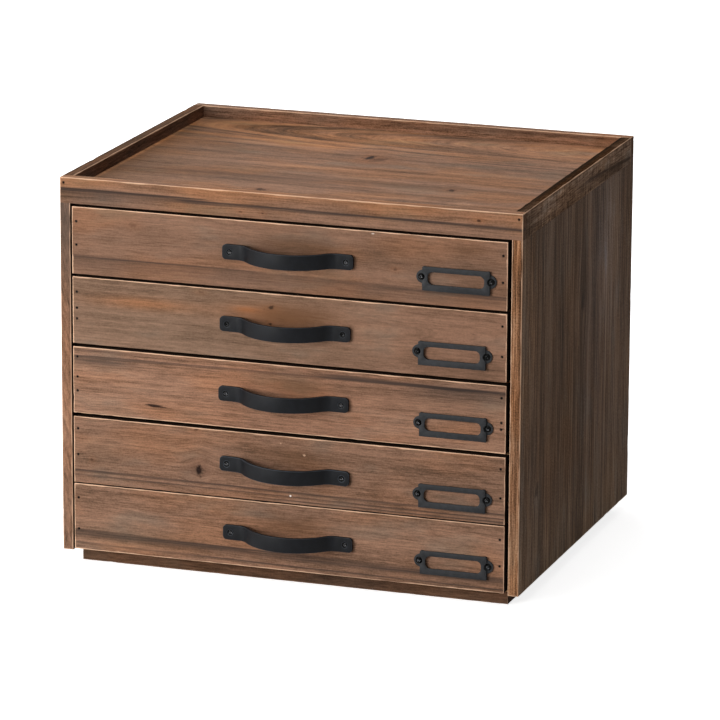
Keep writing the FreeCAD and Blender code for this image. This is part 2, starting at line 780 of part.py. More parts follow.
# Bottom board, back panel, and the side panels with a housing for the one and a rabbet for the other
def carcass():
    runner_nails, runner_holes = runners()
    back_nails, back_holes = back_panel_nails()
    plinth_nails, plinth_holes = plinth()
    bottom_edge = f"({panel_inner} + Sizes.bottom_housing_depth)"
    bottom = block(
        "bottom_board_blank",
        (f"-{bottom_edge}", bottom_edge),
        (stop_face, back_inner),
        (carcass_low, bottom_top),
    )
    cut_board("bottom_board", bottom, plinth_holes + back_holes["bottom"])
    back_edge = f"({panel_inner} + Sizes.back_rabbet_width)"
    back = block(
        "back_panel_blank",
        (f"-{back_edge}", back_edge),
        (back_inner, back_face),
        (carcass_low, opening_top),
    )
    cut_board("back_panel", back, back_holes["left"] + back_holes["right"] + back_holes["bottom"])
    for hand, sign in hands.items():
        label = f"{hand}_side_panel"
        faces = mirrored_faces(sign, panel_inner, panel_outer)
        blank = block(f"{label}_blank", faces, (front_face, back_face), (carcass_low, opening_top))
        cut_board(label, blank, [bottom, back] + runner_holes[hand] + back_holes[hand])
    return runner_nails + back_nails + plinth_nails


# Height of one nail on a drawer's side, from the edge that it is measured from
def nail_height(reference, offset, low, top):
    if reference == "top":
        return f"{top} - {offset}"
    if reference == "low":
        return f"{low} + {offset}"
    return f"({low} + {top}) / 2 + {offset}"


# Nails through the front into the sides' ends, and through the sides into the back's ends
def drawer_nails(number, drawer, low, top):
    nails = []
    holes = {"front": [], "left": [], "right": [], "back": []}
    edges = {"left": (drawer_left, "+", "+X"), "right": (drawer_right, "-", "-X")}
    for hand, (edge, inwards, direction) in edges.items():
        across = f"{edge} {inwards} Sizes.drawer_nail_inset"
        for count, (reference, _) in enumerate(drawer[f"{hand}_nails"], 1):
            offset = f"Sizes.drawer_{number}_{hand}_nails_{count}"
            at = (across, front_face, nail_height(reference, offset, low, top))
            name = f"drawer_{number}_{hand}_nail_{count}"
            shank, hole = nail(name, at, "+Y", "Sizes.drawer_front_thickness")
            nails.append(shank)
            holes["front"].append(hole)
            holes[hand].append(hole)
        along = f"{side_back} - Sizes.drawer_back_thickness / 2"
        for reference in ("top", "low"):
            height = nail_height(reference, "Sizes.drawer_back_nail_inset", low, top)
            name = f"drawer_{number}_back_{hand}_{reference}_nail"
            shank, hole = nail(name, (edge, along, height), direction, "Sizes.drawer_side_thickness")
            nails.append(shank)
            holes[hand].append(hole)
            holes["back"].append(hole)
    return nails, holes


# The box of one drawer: front, two sides, back and a thin bottom in grooves
def drawer_box(number, low, top, front_low, front_top, holes):
    name = f"drawer_{number}"
    inner_left = f"({drawer_left} + Sizes.drawer_side_thickness)"
    inner_right = f"({drawer_right} - Sizes.drawer_side_thickness)"
    back_front = f"({side_back} - Sizes.drawer_back_thickness)"
    depth = "Sizes.groove_depth"
    groove_low = f"({low} + Sizes.groove_lift)"
    groove_top = f"({groove_low} + Sizes.drawer_bottom_thickness + Sizes.groove_clearance)"
    groove = block(
        f"{name}_groove",
        (f"({inner_left} - {depth})", f"({inner_right} + {depth})"),
        (f"({side_front} - {depth})", f"({back_front} + {depth})"),
        (groove_low, groove_top),
    )
    play = f"{depth} - Sizes.groove_clearance"
    bottom = block(
        f"{name}_bottom",
        (f"({inner_left} - ({play}))", f"({inner_right} + {play})"),
        (f"({side_front} - ({play}))", f"({back_front} + {play})"),
        (groove_low, f"({groove_low} + Sizes.drawer_bottom_thickness)"),
    )
    keep(bottom, f"{name}_bottom")
    heights = (low, top)
    blanks = {
        "front": ((drawer_left, drawer_right), (front_face, side_front), (front_low, front_top)),
        "left": ((drawer_left, inner_left), (side_front, side_back), heights),
        "right": ((inner_right, drawer_right), (side_front, side_back), heights),
        "back": ((inner_left, inner_right), (back_front, side_back), heights),
    }
    for side, faces in blanks.items():
        label = f"{name}_{side}_side" if side in hands else f"{name}_{side}"
        blank = block(f"{label}_blank", *faces)
        cut_board(label, blank, [groove] + holes[side])


# Handle and label holder of one drawer with their screws and the holes in the front
def drawer_fittings(number, front_low, front_top, flat, round_head):
    name = f"drawer_{number}"
    own = f"Sizes.{name}"
    screws = []
    holes = []
    tilt = f"{own}_handle_tilt"
    handle_x = f"({drawer_left} + {drawer_right}) / 2 + {own}_handle_shift"
    handle_z = f"({front_low} + {front_top}) / 2 + {own}_handle_lift"
    handle(f"{name}_handle", (handle_x, front_face, handle_z), tilt)
    label_x = f"{drawer_right} - {own}_label_inset"
    label_z = f"{front_low} + {own}_label_lift"
    label_holder(f"{name}_label_holder", (label_x, front_face, label_z))
    for hand, sign in hands.items():
        arm = f"{sign} * {handle_spacing} / 2"
        screw_x = f"{handle_x} + {arm} * cos({tilt})"
        screw_z = f"{handle_z} - {arm} * sin({tilt})"
        seat = f"{front_face} - Sizes.handle_thickness"
        screws.append(screw_at(flat, f"{name}_handle_{hand}_screw", (screw_x, seat, screw_z)))
        depth = "Sizes.flat_head_height + Sizes.screw_length - Sizes.handle_thickness + Sizes.screw_clearance"
        holes.append(screw_hole(f"{name}_handle_{hand}_hole", (screw_x, front_face, screw_z), depth))
        arm = f"{sign} * {label_spacing} / 2"
        screw_x = f"{label_x} + {arm}"
        seat = f"{front_face} - Sizes.label_flange_thickness"
        screws.append(screw_at(round_head, f"{name}_label_{hand}_screw", (screw_x, seat, label_z)))
        depth = "Sizes.screw_length - Sizes.label_flange_thickness + Sizes.screw_clearance"
        holes.append(screw_hole(f"{name}_label_{hand}_hole", (screw_x, front_face, label_z), depth))
    return screws, holes


def drawer_unit(number, drawer, flat, round_head):
    own = f"Sizes.drawer_{number}"
    lowest = number == drawer_count
    carrier = "Sizes.bottom_board_thickness" if lowest else "Sizes.runner_height"
    seat = f"({bottom_top} + {drawer_count - number} * {bay_pitch})"
    low = derive(f"drawer_{number}_low", f"{seat} + Sizes.running_clearance")
    top = derive(f"drawer_{number}_top", f"{low} + {side_height}")
    front_low = derive(f"drawer_{number}_front_low", f"{seat} - {carrier} + {own}_front_lift")
    front_height = f"{bay_height} + {carrier} - Sizes.drawer_front_play"
    front_top = derive(f"drawer_{number}_front_top", f"{front_low} + {front_height}")
    nails, holes = drawer_nails(number, drawer, low, top)
    screws, screw_holes = drawer_fittings(number, front_low, front_top, flat, round_head)
    holes["front"] += screw_holes
    drawer_box(number, low, top, front_low, front_top, holes)
    group(f"drawer_{number}_fasteners", screws + nails)


# Nothing is written unless every object is sound
def check_model():
    doc.recompute()
    for thing in doc.Objects:
        if "Invalid" in thing.State or "Error" in thing.State:
            raise RuntimeError(f"{thing.Label}: {thing.State}")
    for piece in pieces:
        if piece.Shape.isNull() or not piece.Shape.isValid():
            raise RuntimeError(f"{piece.Label} has no sound shape")


def write_pieces(folder):
    os.makedirs(folder, exist_ok=True)
    for piece in pieces:
        piece.Shape.exportStep(os.path.join(folder, f"{piece.Label}.step"))


flat = flat_screw()
round_head = round_screw()
group("carcass_nails", tray() + carcass())
for number, drawer in enumerate(drawers, 1):
    drawer_unit(number, drawer, flat, round_head)
check_model()
write_pieces("parts")
print(len(pieces), "pieces written")
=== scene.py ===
import json
import math

import bmesh
import bpy
import numpy as np
from mathutils import Matrix, Vector
from mathutils.bvhtree import BVHTree

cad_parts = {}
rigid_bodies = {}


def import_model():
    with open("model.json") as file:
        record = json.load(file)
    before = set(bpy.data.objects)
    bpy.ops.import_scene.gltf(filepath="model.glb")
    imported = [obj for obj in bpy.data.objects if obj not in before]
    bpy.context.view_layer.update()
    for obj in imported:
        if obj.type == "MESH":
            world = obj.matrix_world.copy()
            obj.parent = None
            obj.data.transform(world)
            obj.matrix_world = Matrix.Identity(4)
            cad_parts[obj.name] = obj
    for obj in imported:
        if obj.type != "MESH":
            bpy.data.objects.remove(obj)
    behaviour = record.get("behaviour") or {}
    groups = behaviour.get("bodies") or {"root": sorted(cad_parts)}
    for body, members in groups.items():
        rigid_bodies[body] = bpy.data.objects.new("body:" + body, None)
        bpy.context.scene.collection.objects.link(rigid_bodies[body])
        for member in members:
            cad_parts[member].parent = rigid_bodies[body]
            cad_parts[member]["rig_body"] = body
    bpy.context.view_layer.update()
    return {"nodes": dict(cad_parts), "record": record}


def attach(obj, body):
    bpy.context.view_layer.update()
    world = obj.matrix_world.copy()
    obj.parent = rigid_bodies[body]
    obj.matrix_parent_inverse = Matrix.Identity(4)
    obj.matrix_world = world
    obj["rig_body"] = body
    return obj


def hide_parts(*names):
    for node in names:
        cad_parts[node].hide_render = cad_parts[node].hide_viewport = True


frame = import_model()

mm = 0.001
scene = bpy.context.scene
scene.view_settings.view_transform = "Standard"
slotOf = {part["node"]: part["material_slot"] for part in frame["record"]["subparts"]}
bodyOf = {node: thing["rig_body"] for node, thing in frame["nodes"].items()}


# one socket of a finish; arithmetic on it adds Math nodes
class Tap:
    def __init__(self, finish, socket):
        self.finish = finish
        self.socket = socket

    def worked(self, operation, *values):
        return self.finish.node("ShaderNodeMath", {"operation": operation}, dict(enumerate(values)))

    def __add__(self, other):
        return self.worked("ADD", self, other)

    def __radd__(self, other):
        return self.worked("ADD", other, self)

    def __sub__(self, other):
        return self.worked("SUBTRACT", self, other)

    def __rsub__(self, other):
        return self.worked("SUBTRACT", other, self)

    def __mul__(self, other):
        return self.worked("MULTIPLY", self, other)

    def __rmul__(self, other):
        return self.worked("MULTIPLY", other, self)

    def __truediv__(self, other):
        return self.worked("DIVIDE", self, other)

    def __rtruediv__(self, other):
        return self.worked("DIVIDE", other, self)

    def __pow__(self, other):
        return self.worked("POWER", self, other)

    def __rpow__(self, other):
        return self.worked("POWER", other, self)

    def capped(self, most):
        return self.worked("MINIMUM", self, most)

    # 1 at zero, falling to 0 as the value grows
    def fading(self):
        return self.worked("EXPONENT", self * -1.0)

    # 0 below low, 1 above high, eased between
    def eased(self, low, high):
        return self.finish.node("ShaderNodeMapRange", {"interpolation_type": "SMOOTHSTEP"},
                                {"Value": self, "From Min": low, "From Max": high})


# the node tree of one material
class Finish:
    def __init__(self, name, holder=None):
        self.material = holder or bpy.data.materials.new(name)
        self.material.use_nodes = True
        self.tree = self.material.node_tree
        self.tree.nodes.clear()

    # a node by its type, its settings first and then its sockets; gives the output asked for
    def node(self, kind, settings=None, sockets=None, output=0):
        made = self.tree.nodes.new(kind)
        for name, value in (settings or {}).items():
            if name == "stops":
                for extra in value[2:]:
                    made.color_ramp.elements.new(extra[0])
                for stop, (place, colour) in zip(made.color_ramp.elements, value):
                    stop.position = place
                    stop.color = colour
            else:
                setattr(made, name, value)
        for name, value in (sockets or {}).items():
            if isinstance(value, Tap):
                self.tree.links.new(value.socket, made.inputs[name])
            else:
                made.inputs[name].default_value = value
        if isinstance(output, tuple):
            return [Tap(self, made.outputs[name]) for name in output]
        return Tap(self, made.outputs[output]) if made.outputs else None

    # the three values of a vector
    def parts(self, vector):
        return self.node("ShaderNodeSeparateXYZ", {}, {"Vector": vector}, ("X", "Y", "Z"))

    def attribute(self, name, output="Fac"):
        return self.node("ShaderNodeAttribute", {"attribute_name": name}, {}, output)

    def noise(self, x, y, z, detail=2.0, roughness=0.5):
        spot = self.node("ShaderNodeCombineXYZ", {}, {"X": x, "Y": y, "Z": z})
        return self.node("ShaderNodeTexNoise", {},
                         {"Vector": spot, "Scale": 1.0, "Detail": detail, "Roughness": roughness})

    def mixed(self, factor, first, second, blend="MIX"):
        return self.node("ShaderNodeMix", {"data_type": "RGBA", "blend_type": blend},
                         {0: factor, 6: first, 7: second}, 2)

    # a Principled surface on the output
    def surface(self, sockets, bumpHeight=None, bumpStrength=0.2, bumpDepth=0.0002):
        if bumpHeight is not None:
            sockets["Normal"] = self.node("ShaderNodeBump", {}, {
                "Height": bumpHeight, "Strength": bumpStrength, "Distance": bumpDepth})
        shader = self.node("ShaderNodeBsdfPrincipled", {}, sockets)
        self.node("ShaderNodeOutputMaterial", {}, {"Surface": shader})
        return self.material


# screen colour 0-255 to the linear colour that a shader takes
def paint(red, green, blue, shade=1.0):
    shares = [value / 255 for value in (red, green, blue)]
    linear = [s / 12.92 if s <= 0.04045 else ((s + 0.055) / 1.055) ** 2.4 for s in shares]
    return (*[value * shade for value in linear], 1.0)


# how often each figure of the wood repeats, per mm along the grain, across it and through the board,
# then its place in the noise, its detail and its roughness
figures = {
    "sway": (0.005, 0.012, 0.01, 0.0, 1.0, 0.5),
    "ripple": (0.028, 0.05, 0.03, 5.0, 1.0, 0.5),
    "broad": (0.003, 0.07, 0.0, 11.0, 2.0, 0.5),
    "lines": (0.006, 0.42, 0.0, 23.0, 4.0, 0.6),
    "strand": (0.055, 1.0, 0.3, 29.0, 2.0, 0.55),
    "fibre": (0.14, 1.9, 0.4, 31.0, 3.0, 0.6),
    "speck": (0.8, 1.1, 1.1, 37.0, 2.0, 0.6),
    "blotch": (0.018, 0.05, 0.03, 41.0, 3.0, 0.55),
    "patch": (0.012, 0.035, 0.03, 47.0, 2.0, 0.5),
    "pore": (0.11, 3.4, 0.8, 53.0, 1.0, 0.5),
    "streak": (0.007, 0.75, 0.0, 61.0, 3.0, 0.6),
    "ragged": (1.3, 1.3, 0.0, 67.0, 2.0, 0.5),
    "sawMark": (0.8, 0.05, 0.1, 71.0, 3.0, 0.6),
    "rubMark": (0.06, 0.4, 0.4, 0.0, 3.0, 0.6),
}
seedStep = 17.31      # how far apart two boards lie in the noise
# how much each figure lightens or darkens the wood, and how much it raises the surface
toneShares = {"broad": 0.4, "lines": 0.48, "strand": 0.55, "fibre": 0.55, "speck": 0.4, "blotch": 0.4}
heightShares = {"lines": 0.6, "strand": 0.3, "fibre": 0.5, "speck": 0.2, "pore": 0.5}
stain = {
    "dark": (69, 52, 42),
    "low": (116, 88, 70),
    "middle": (141, 107, 87),
    "high": (159, 121, 98),
    "light": (184, 143, 115),
    "flush": (1.2, 1.0, 0.8),     # warmer and greyer patches, as shares of red, green and blue
    "grey": (0.66, 0.82, 0.92),
    "band": (70, 58, 52),
    "knot": (38, 29, 26),
    "knotGlow": (146, 94, 62),    # round a knot
    "endGrain": (66, 49, 40),
    "soot": (48, 37, 30),         # dark rings round nail holes, and painted shade in the gaps round the drawers
    "worn": (242, 198, 164),
    "roughness": 0.78,
    "shine": 0.03,
    "bump": 0.3,
    "sway": 7.0,        # mm that the grain wanders across the board
    "ripple": 0.8,
    "pith": -70.0,      # mm from the board's middle to the heart of the tree, across and behind
    "heart": 30.0,
    "taper": 0.0,
    "contrast": 1.0,
    "reach": 1.0,       # how long the streaks are
    "rings": 1.0,       # how close the growth rings lie
    "shade": 1.0,
    "warmth": 0.55,
    "greyness": 0.7,
    "sawn": 0.0,        # saw marks across the grain
    "wear": 1.0,
    "bands": (),
    "knots": (),
    "smudges": (),
    "flecks": (),       # small spots where the stain has chipped off
    "flame": None,      # growth rings cut lengthwise, beyond v
}


knotForm = {
    "flow": 0.16,       # how fast the bent grain and the glow round a knot fade
    "glow": 0.25,
    "lumps": 1.1,       # its ragged rim
    "deepest": 2.6,
    "least": 0.35,
    "rim": 1.3,
}


# squared distance from a mark's middle, 1 at its rim, and its two parts
def awayFrom(mark, u, v):
    along = (u - mark["u"]) / mark["long"]
    across = (v - mark["v"]) / mark["high"]
    return along * along + across * across, along, across


# stained softwood, in the board's own grain coordinates in mm
def stainedWood(name, changes):
    look = {**stain, **changes}
    finish = Finish(name)
    shade = look["shade"]
    u, v, w = finish.parts(finish.attribute("grain", "Vector"))
    seed = look["seed"] * seedStep

    def figure(name, across, closer=1.0, longer=1.0):
        perLong, perWide, perDeep, place, detail, roughness = figures[name]
        deep = w * perDeep + (seed + place) if perDeep else seed + place
        return finish.noise(u * (perLong / longer), across * (perWide * closer), deep, detail, roughness)

    sway = figure("sway", v) - 0.5
    ripple = figure("ripple", v) - 0.5
    across = v + sway * look["sway"] + ripple * look["ripple"]
    knotMask = 0.0
    glow = 0.0
    for knot in look["knots"]:
        spread, alongKnot, acrossKnot = awayFrom(knot, u, v)
        flow = (spread * knotForm["flow"]).fading()
        across = across - acrossKnot * flow * (knot.get("flow", 0.3) * knot["high"])
        lumpy = knotForm["lumps"]
        lumps = finish.noise(alongKnot * lumpy, acrossKnot * lumpy, seed + knot["u"], 3.0, 0.65)
        jagged = spread * (lumps.eased(0.28, 0.68) * knotForm["deepest"] + knotForm["least"])
        knotMask = knotMask + (jagged * knotForm["rim"]).fading().eased(0.05, 0.85) * knot["dark"]
        glow = glow + (spread * knotForm["glow"]).fading() * knot.get("glow", 0.25)
    fromPith = across - look["pith"]
    fromHeart = w + u * look["taper"] + look["heart"]
    ring = (fromPith * fromPith + fromHeart * fromHeart) ** 0.5

    reach = look["reach"]
    broad = figure("broad", ring) - 0.5
    lines = figure("lines", ring, look["rings"], reach) - 0.5
    strand = figure("strand", ring, 1.0, reach) - 0.5
    fibre = figure("fibre", ring, 1.0, reach) - 0.5
    speck = figure("speck", v) - 0.5
    blotch = figure("blotch", v)
    patch = figure("patch", v)
    pore = figure("pore", ring)

    share = {figureName: value * look["contrast"] for figureName, value in toneShares.items()}
    lineStrength = share["lines"]
    flame = look["flame"]
    if flame:
        flameMask = (v + sway * 40.0).eased(flame["v"] - flame["fade"], flame["v"] + flame["fade"])
        lineStrength = lineStrength + flameMask * flame["strength"]
        years = ring / flame["spacing"] + broad * 0.6
        year = years.worked("FRACT", years)
        lateWood = year.eased(0.45, 0.88) * (1.0 - year.eased(0.92, 1.0)) * flameMask
    tone = 0.5 + broad * share["broad"] + lines * lineStrength + strand * share["strand"]
    tone = tone + fibre * share["fibre"] + speck * share["speck"] + (blotch - 0.5) * toneShares["blotch"]
    if flame:
        tone = tone + flameMask * flame["lift"] - lateWood * flame["late"]
    if look["sawn"]:
        tone = tone + (figure("sawMark", v) - 0.5) * look["sawn"]
    colour = finish.node("ShaderNodeValToRGB", {"stops": [
        (0.12, paint(*look["dark"], shade)), (0.36, paint(*look["low"], shade)),
        (0.52, paint(*look["middle"], shade)), (0.66, paint(*look["high"], shade)),
        (0.92, paint(*look["light"], shade))]}, {"Fac": tone})
    flush = patch.eased(0.42, 0.66) * look["warmth"]
    if flame:
        flush = flush + flameMask * (lines + 0.15).eased(0.0, 0.3) * 0.75
        flush = flush.capped(1.0)
    colour = finish.mixed(flush, colour, (*look["flush"], 1.0), "MULTIPLY")
    greyed = blotch.eased(0.5, 0.72) * look["greyness"]
    colour = finish.mixed(greyed, colour, (*look["grey"], 1.0), "MULTIPLY")

    bandMask = 0.0
    for band in look["bands"]:
        line = v + sway * (0.25 * look["sway"]) + ripple * (0.7 * look["ripple"])
        off = (line - u * band.get("rise", 0.0) - band["v"]) / band["wide"]
        mask = off.eased(-1.0, -0.1) * (1.0 - off.eased(0.0, band.get("soft", 0.35)))
        start, stop = band.get("from", -400.0), band.get("to", 400.0)
        run = u.eased(start - 25.0, start + 15.0) * (1.0 - u.eased(stop - 15.0, stop + 25.0))
        bandMask = bandMask + mask * run * band["dark"]
    if look["bands"]:
        streaked = bandMask * (0.42 + figure("streak", v).eased(0.36, 0.62) * 0.6 + fibre * 0.8)
        colour = finish.mixed(streaked.capped(0.95), colour, paint(*look["band"], shade))
    if look["knots"]:
        warm = finish.mixed(glow.capped(0.8), colour, paint(*look["knotGlow"], shade))
        colour = finish.mixed(knotMask.capped(0.96), warm, paint(*look["knot"], shade))
    # stain patches, and painted shade: the handles' shadows, the front rail's contact shadow on the tray
    # floor, shade by the left rail
    for toneMark in look["smudges"]:
        spread = awayFrom(toneMark, u, v)[0]
        if "w" in toneMark:
            throughMark = (w - toneMark["w"]) / toneMark["deep"]
            spread = spread + throughMark * throughMark
        soft = spread.fading() * (0.7 + blotch * 0.6) * toneMark["dark"]
        soft = soft.capped(1.0)
        if "tint" in toneMark:
            colour = finish.mixed(soft, colour, (*toneMark["tint"], 1.0), "MULTIPLY")
        else:
            colour = finish.mixed(soft, colour, paint(*toneMark.get("colour", look["dark"]), shade))
    colour = finish.mixed(pore.eased(0.62, 0.76) * 0.3, colour, paint(*look["dark"], shade))
    for fleck in look["flecks"]:
        mark = (awayFrom(fleck, u, v)[0] * (figure("ragged", v) * 2.0)).fading().eased(0.3, 0.7)
        colour = finish.mixed(mark * fleck["pale"], colour, paint(*fleck.get("colour", look["worn"])))

    endCut = finish.attribute("endCut")
    colour = finish.mixed(endCut * 0.7, colour, paint(*look["endGrain"], shade))
    # dark rings round the nails, and painted shade in the gaps round the drawers
    soot = finish.attribute("soot")
    colour = finish.mixed(soot * 0.96, colour, paint(*look["soot"]))
    rub = finish.attribute("wear")
    rubMark = figure("rubMark", v) - 0.5
    worn = (rub + rubMark * 0.7).eased(0.18, 0.72) * (1.0 - soot) * (look["wear"] * 0.85)
    colour = finish.mixed(worn, colour, paint(*look["worn"]))

    height = lines * heightShares["lines"] + strand * heightShares["strand"] + fibre * heightShares["fibre"]
    height = height + speck * heightShares["speck"] - pore.eased(0.6, 0.8) * heightShares["pore"]
    return finish.surface({
        "Base Color": colour,
        "Roughness": look["roughness"] + fibre * 0.25 + (blotch - 0.5) * 0.2,
        "Specular IOR Level": look["shine"],
    }, height, look["bump"])


bareWood = {
    "dark": (128, 92, 58), "low": (168, 127, 86), "middle": (190, 150, 106), "high": (205, 166, 122),
    "light": (222, 186, 144), "band": (140, 98, 62), "endGrain": (150, 110, 72), "worn": (226, 192, 150),
    "roughness": 0.7, "warmth": 0.4, "greyness": 0.25, "wear": 0.35, "seed": 71,
}
plyWood = {
    "dark": (150, 110, 72), "low": (184, 143, 100), "middle": (201, 162, 118), "high": (212, 175, 132),
    "light": (226, 192, 150), "band": (140, 98, 62), "endGrain": (168, 128, 88), "worn": (224, 190, 150),
    "roughness": 0.7, "warmth": 0.4, "greyness": 0.2, "wear": 0.2, "seed": 83,
    "pith": 0.0, "heart": 50.0, "taper": 0.22, "rings": 0.4, "sway": 30.0,
}


# smooth chance values from 0 to 1 at points, changing over about one wavelength
def wander(points, wavelength, seed):
    draws = np.random.default_rng(seed)
    total = np.zeros(len(points))
    for wave in range(8):
        heading = draws.normal(size=3)
        heading *= 2 * math.pi / wavelength * draws.uniform(0.6, 1.7) / np.linalg.norm(heading)
        total += np.sin(points @ heading + draws.uniform(0, 2 * math.pi))
    return 0.5 + 0.5 * np.tanh(total / 2.6)


def easeBetween(values, low, high):
    share = np.clip((values - low) / (high - low), 0, 1)
    return share * share * (3 - 2 * share)


weldReach = 2e-6      # metres


# a CAD node's mesh, with the corners that its faces share welded
def welded(node):
    shape = bmesh.new()
    shape.from_mesh(frame["nodes"][node].data)
    bmesh.ops.remove_doubles(shape, verts=shape.verts, dist=weldReach)
    return shape


# the corners of each separate solid in a mesh
def solidsOf(shape):
    seen = set()
    for start in shape.verts:
        if start in seen:
            continue
        seen.add(start)
        solid = [start]
        for vert in solid:      # the list grows while it is walked
            for link in vert.link_edges:
                other = link.other_vert(vert)
                if other not in seen:
                    seen.add(other)
                    solid.append(other)
        yield solid


# the ends of every nail among the separate solids of a fastener node
def nailEnds(node):
    gathered = welded(node)
    ends = []
    for solid in solidsOf(gathered):
        spots = np.array([vert.co for vert in solid])
        low, high = spots.min(0), spots.max(0)
        size = high - low
        axis = int(size.argmax())
        if np.delete(size, axis).max() > boardCut["thickestNail"] * mm:    # screws have larger heads
            continue
        for end in (low[axis], high[axis]):
            place = (low + high) / 2
            place[axis] = end
            ends.append((axis, place))
    gathered.free()
    return ends


boardCut = {
    "edge": 0.5,          # mm, how far the edges are eased
    "step": 6.0,          # mm between cuts along a board
    "shares": (0.3, 0.65, 1.0, 1.9, 3.2),
    "chip": 1.6,          # how much deeper a chip goes than the easing
    "warp": 0.08,         # mm
    "rubbed": 1.1,        # mm, how wide the rubbed line along an edge is
    "dimple": 0.55,       # mm deep
    "dimpleRadius": 0.95,
    "nailShares": (-1.4, -1.0, -0.7, -0.35, 0.0, 0.35, 0.7, 1.0, 1.4),
    "holeSoot": 1.3,      # mm from a nail's middle to where its dark ring ends
    "sootFrom": 0.1,      # painted shade in the gaps: mm behind the front face, growing to full and fading out deep inside
    "sootTo": 0.5,
    "sootFades": 20.0,
    "sootEnds": 90.0,
    "leastFace": 12.0,    # mm2, a flat smaller than this is a hole's end
    "thickestNail": 1.8,  # mm, thicker fasteners are screws
    "closest": 0.09,      # mm between two cuts
    "nailReach": 0.6,     # mm from a face, a nail that ends nearer shows there
    "nailCore": 0.45,     # mm, the flat middle of a dimple and of its dark ring
    "holeCore": 0.7,
    "touch": 1e-7,        # m, nearer than this is on a face
    "creaseAngle": 50,
    "flatness": 0.999,
    "apart": 1e-4,        # m between two flats of a solid
    "easeWave": 26.0,     # mm over which the easing, chips, bow and rubbing change
    "chipWave": 7.0,
    "warpWave": 60.0,
    "rubWave": 17.0,
    "chipFrom": 0.88,     # where chips begin and are full, of 1
    "chipTo": 0.98,
}


# cuts along one axis: the solid's own faces, the eased edges, the nails, and even steps between
def cutLines(planes, edge, nails, step):
    low, high = planes[0], planes[-1]
    wanted = [(plane, True) for plane in planes]
    for share in boardCut["shares"]:
        wanted += [(low + edge * share, False), (high - edge * share, False)]
    radius = boardCut["dimpleRadius"] * mm
    for nail in nails:
        wanted += [(nail + radius * share, False) for share in boardCut["nailShares"]]
    lines = []
    for place, fixed in sorted(wanted):
        if not low <= place <= high:
            continue
        if lines and place - lines[-1][0] < boardCut["closest"] * mm:
            if fixed and not lines[-1][1]:
                lines[-1] = (place, True)
            continue
        lines.append((place, fixed))
    places = [place for place, fixed in lines]
    cuts = []
    for start, stop in zip(places, places[1:]):
        pieces = max(1, math.ceil((stop - start) / step))
        cuts += list(np.linspace(start, stop, pieces, endpoint=False))
    return np.array(cuts + [places[-1]])
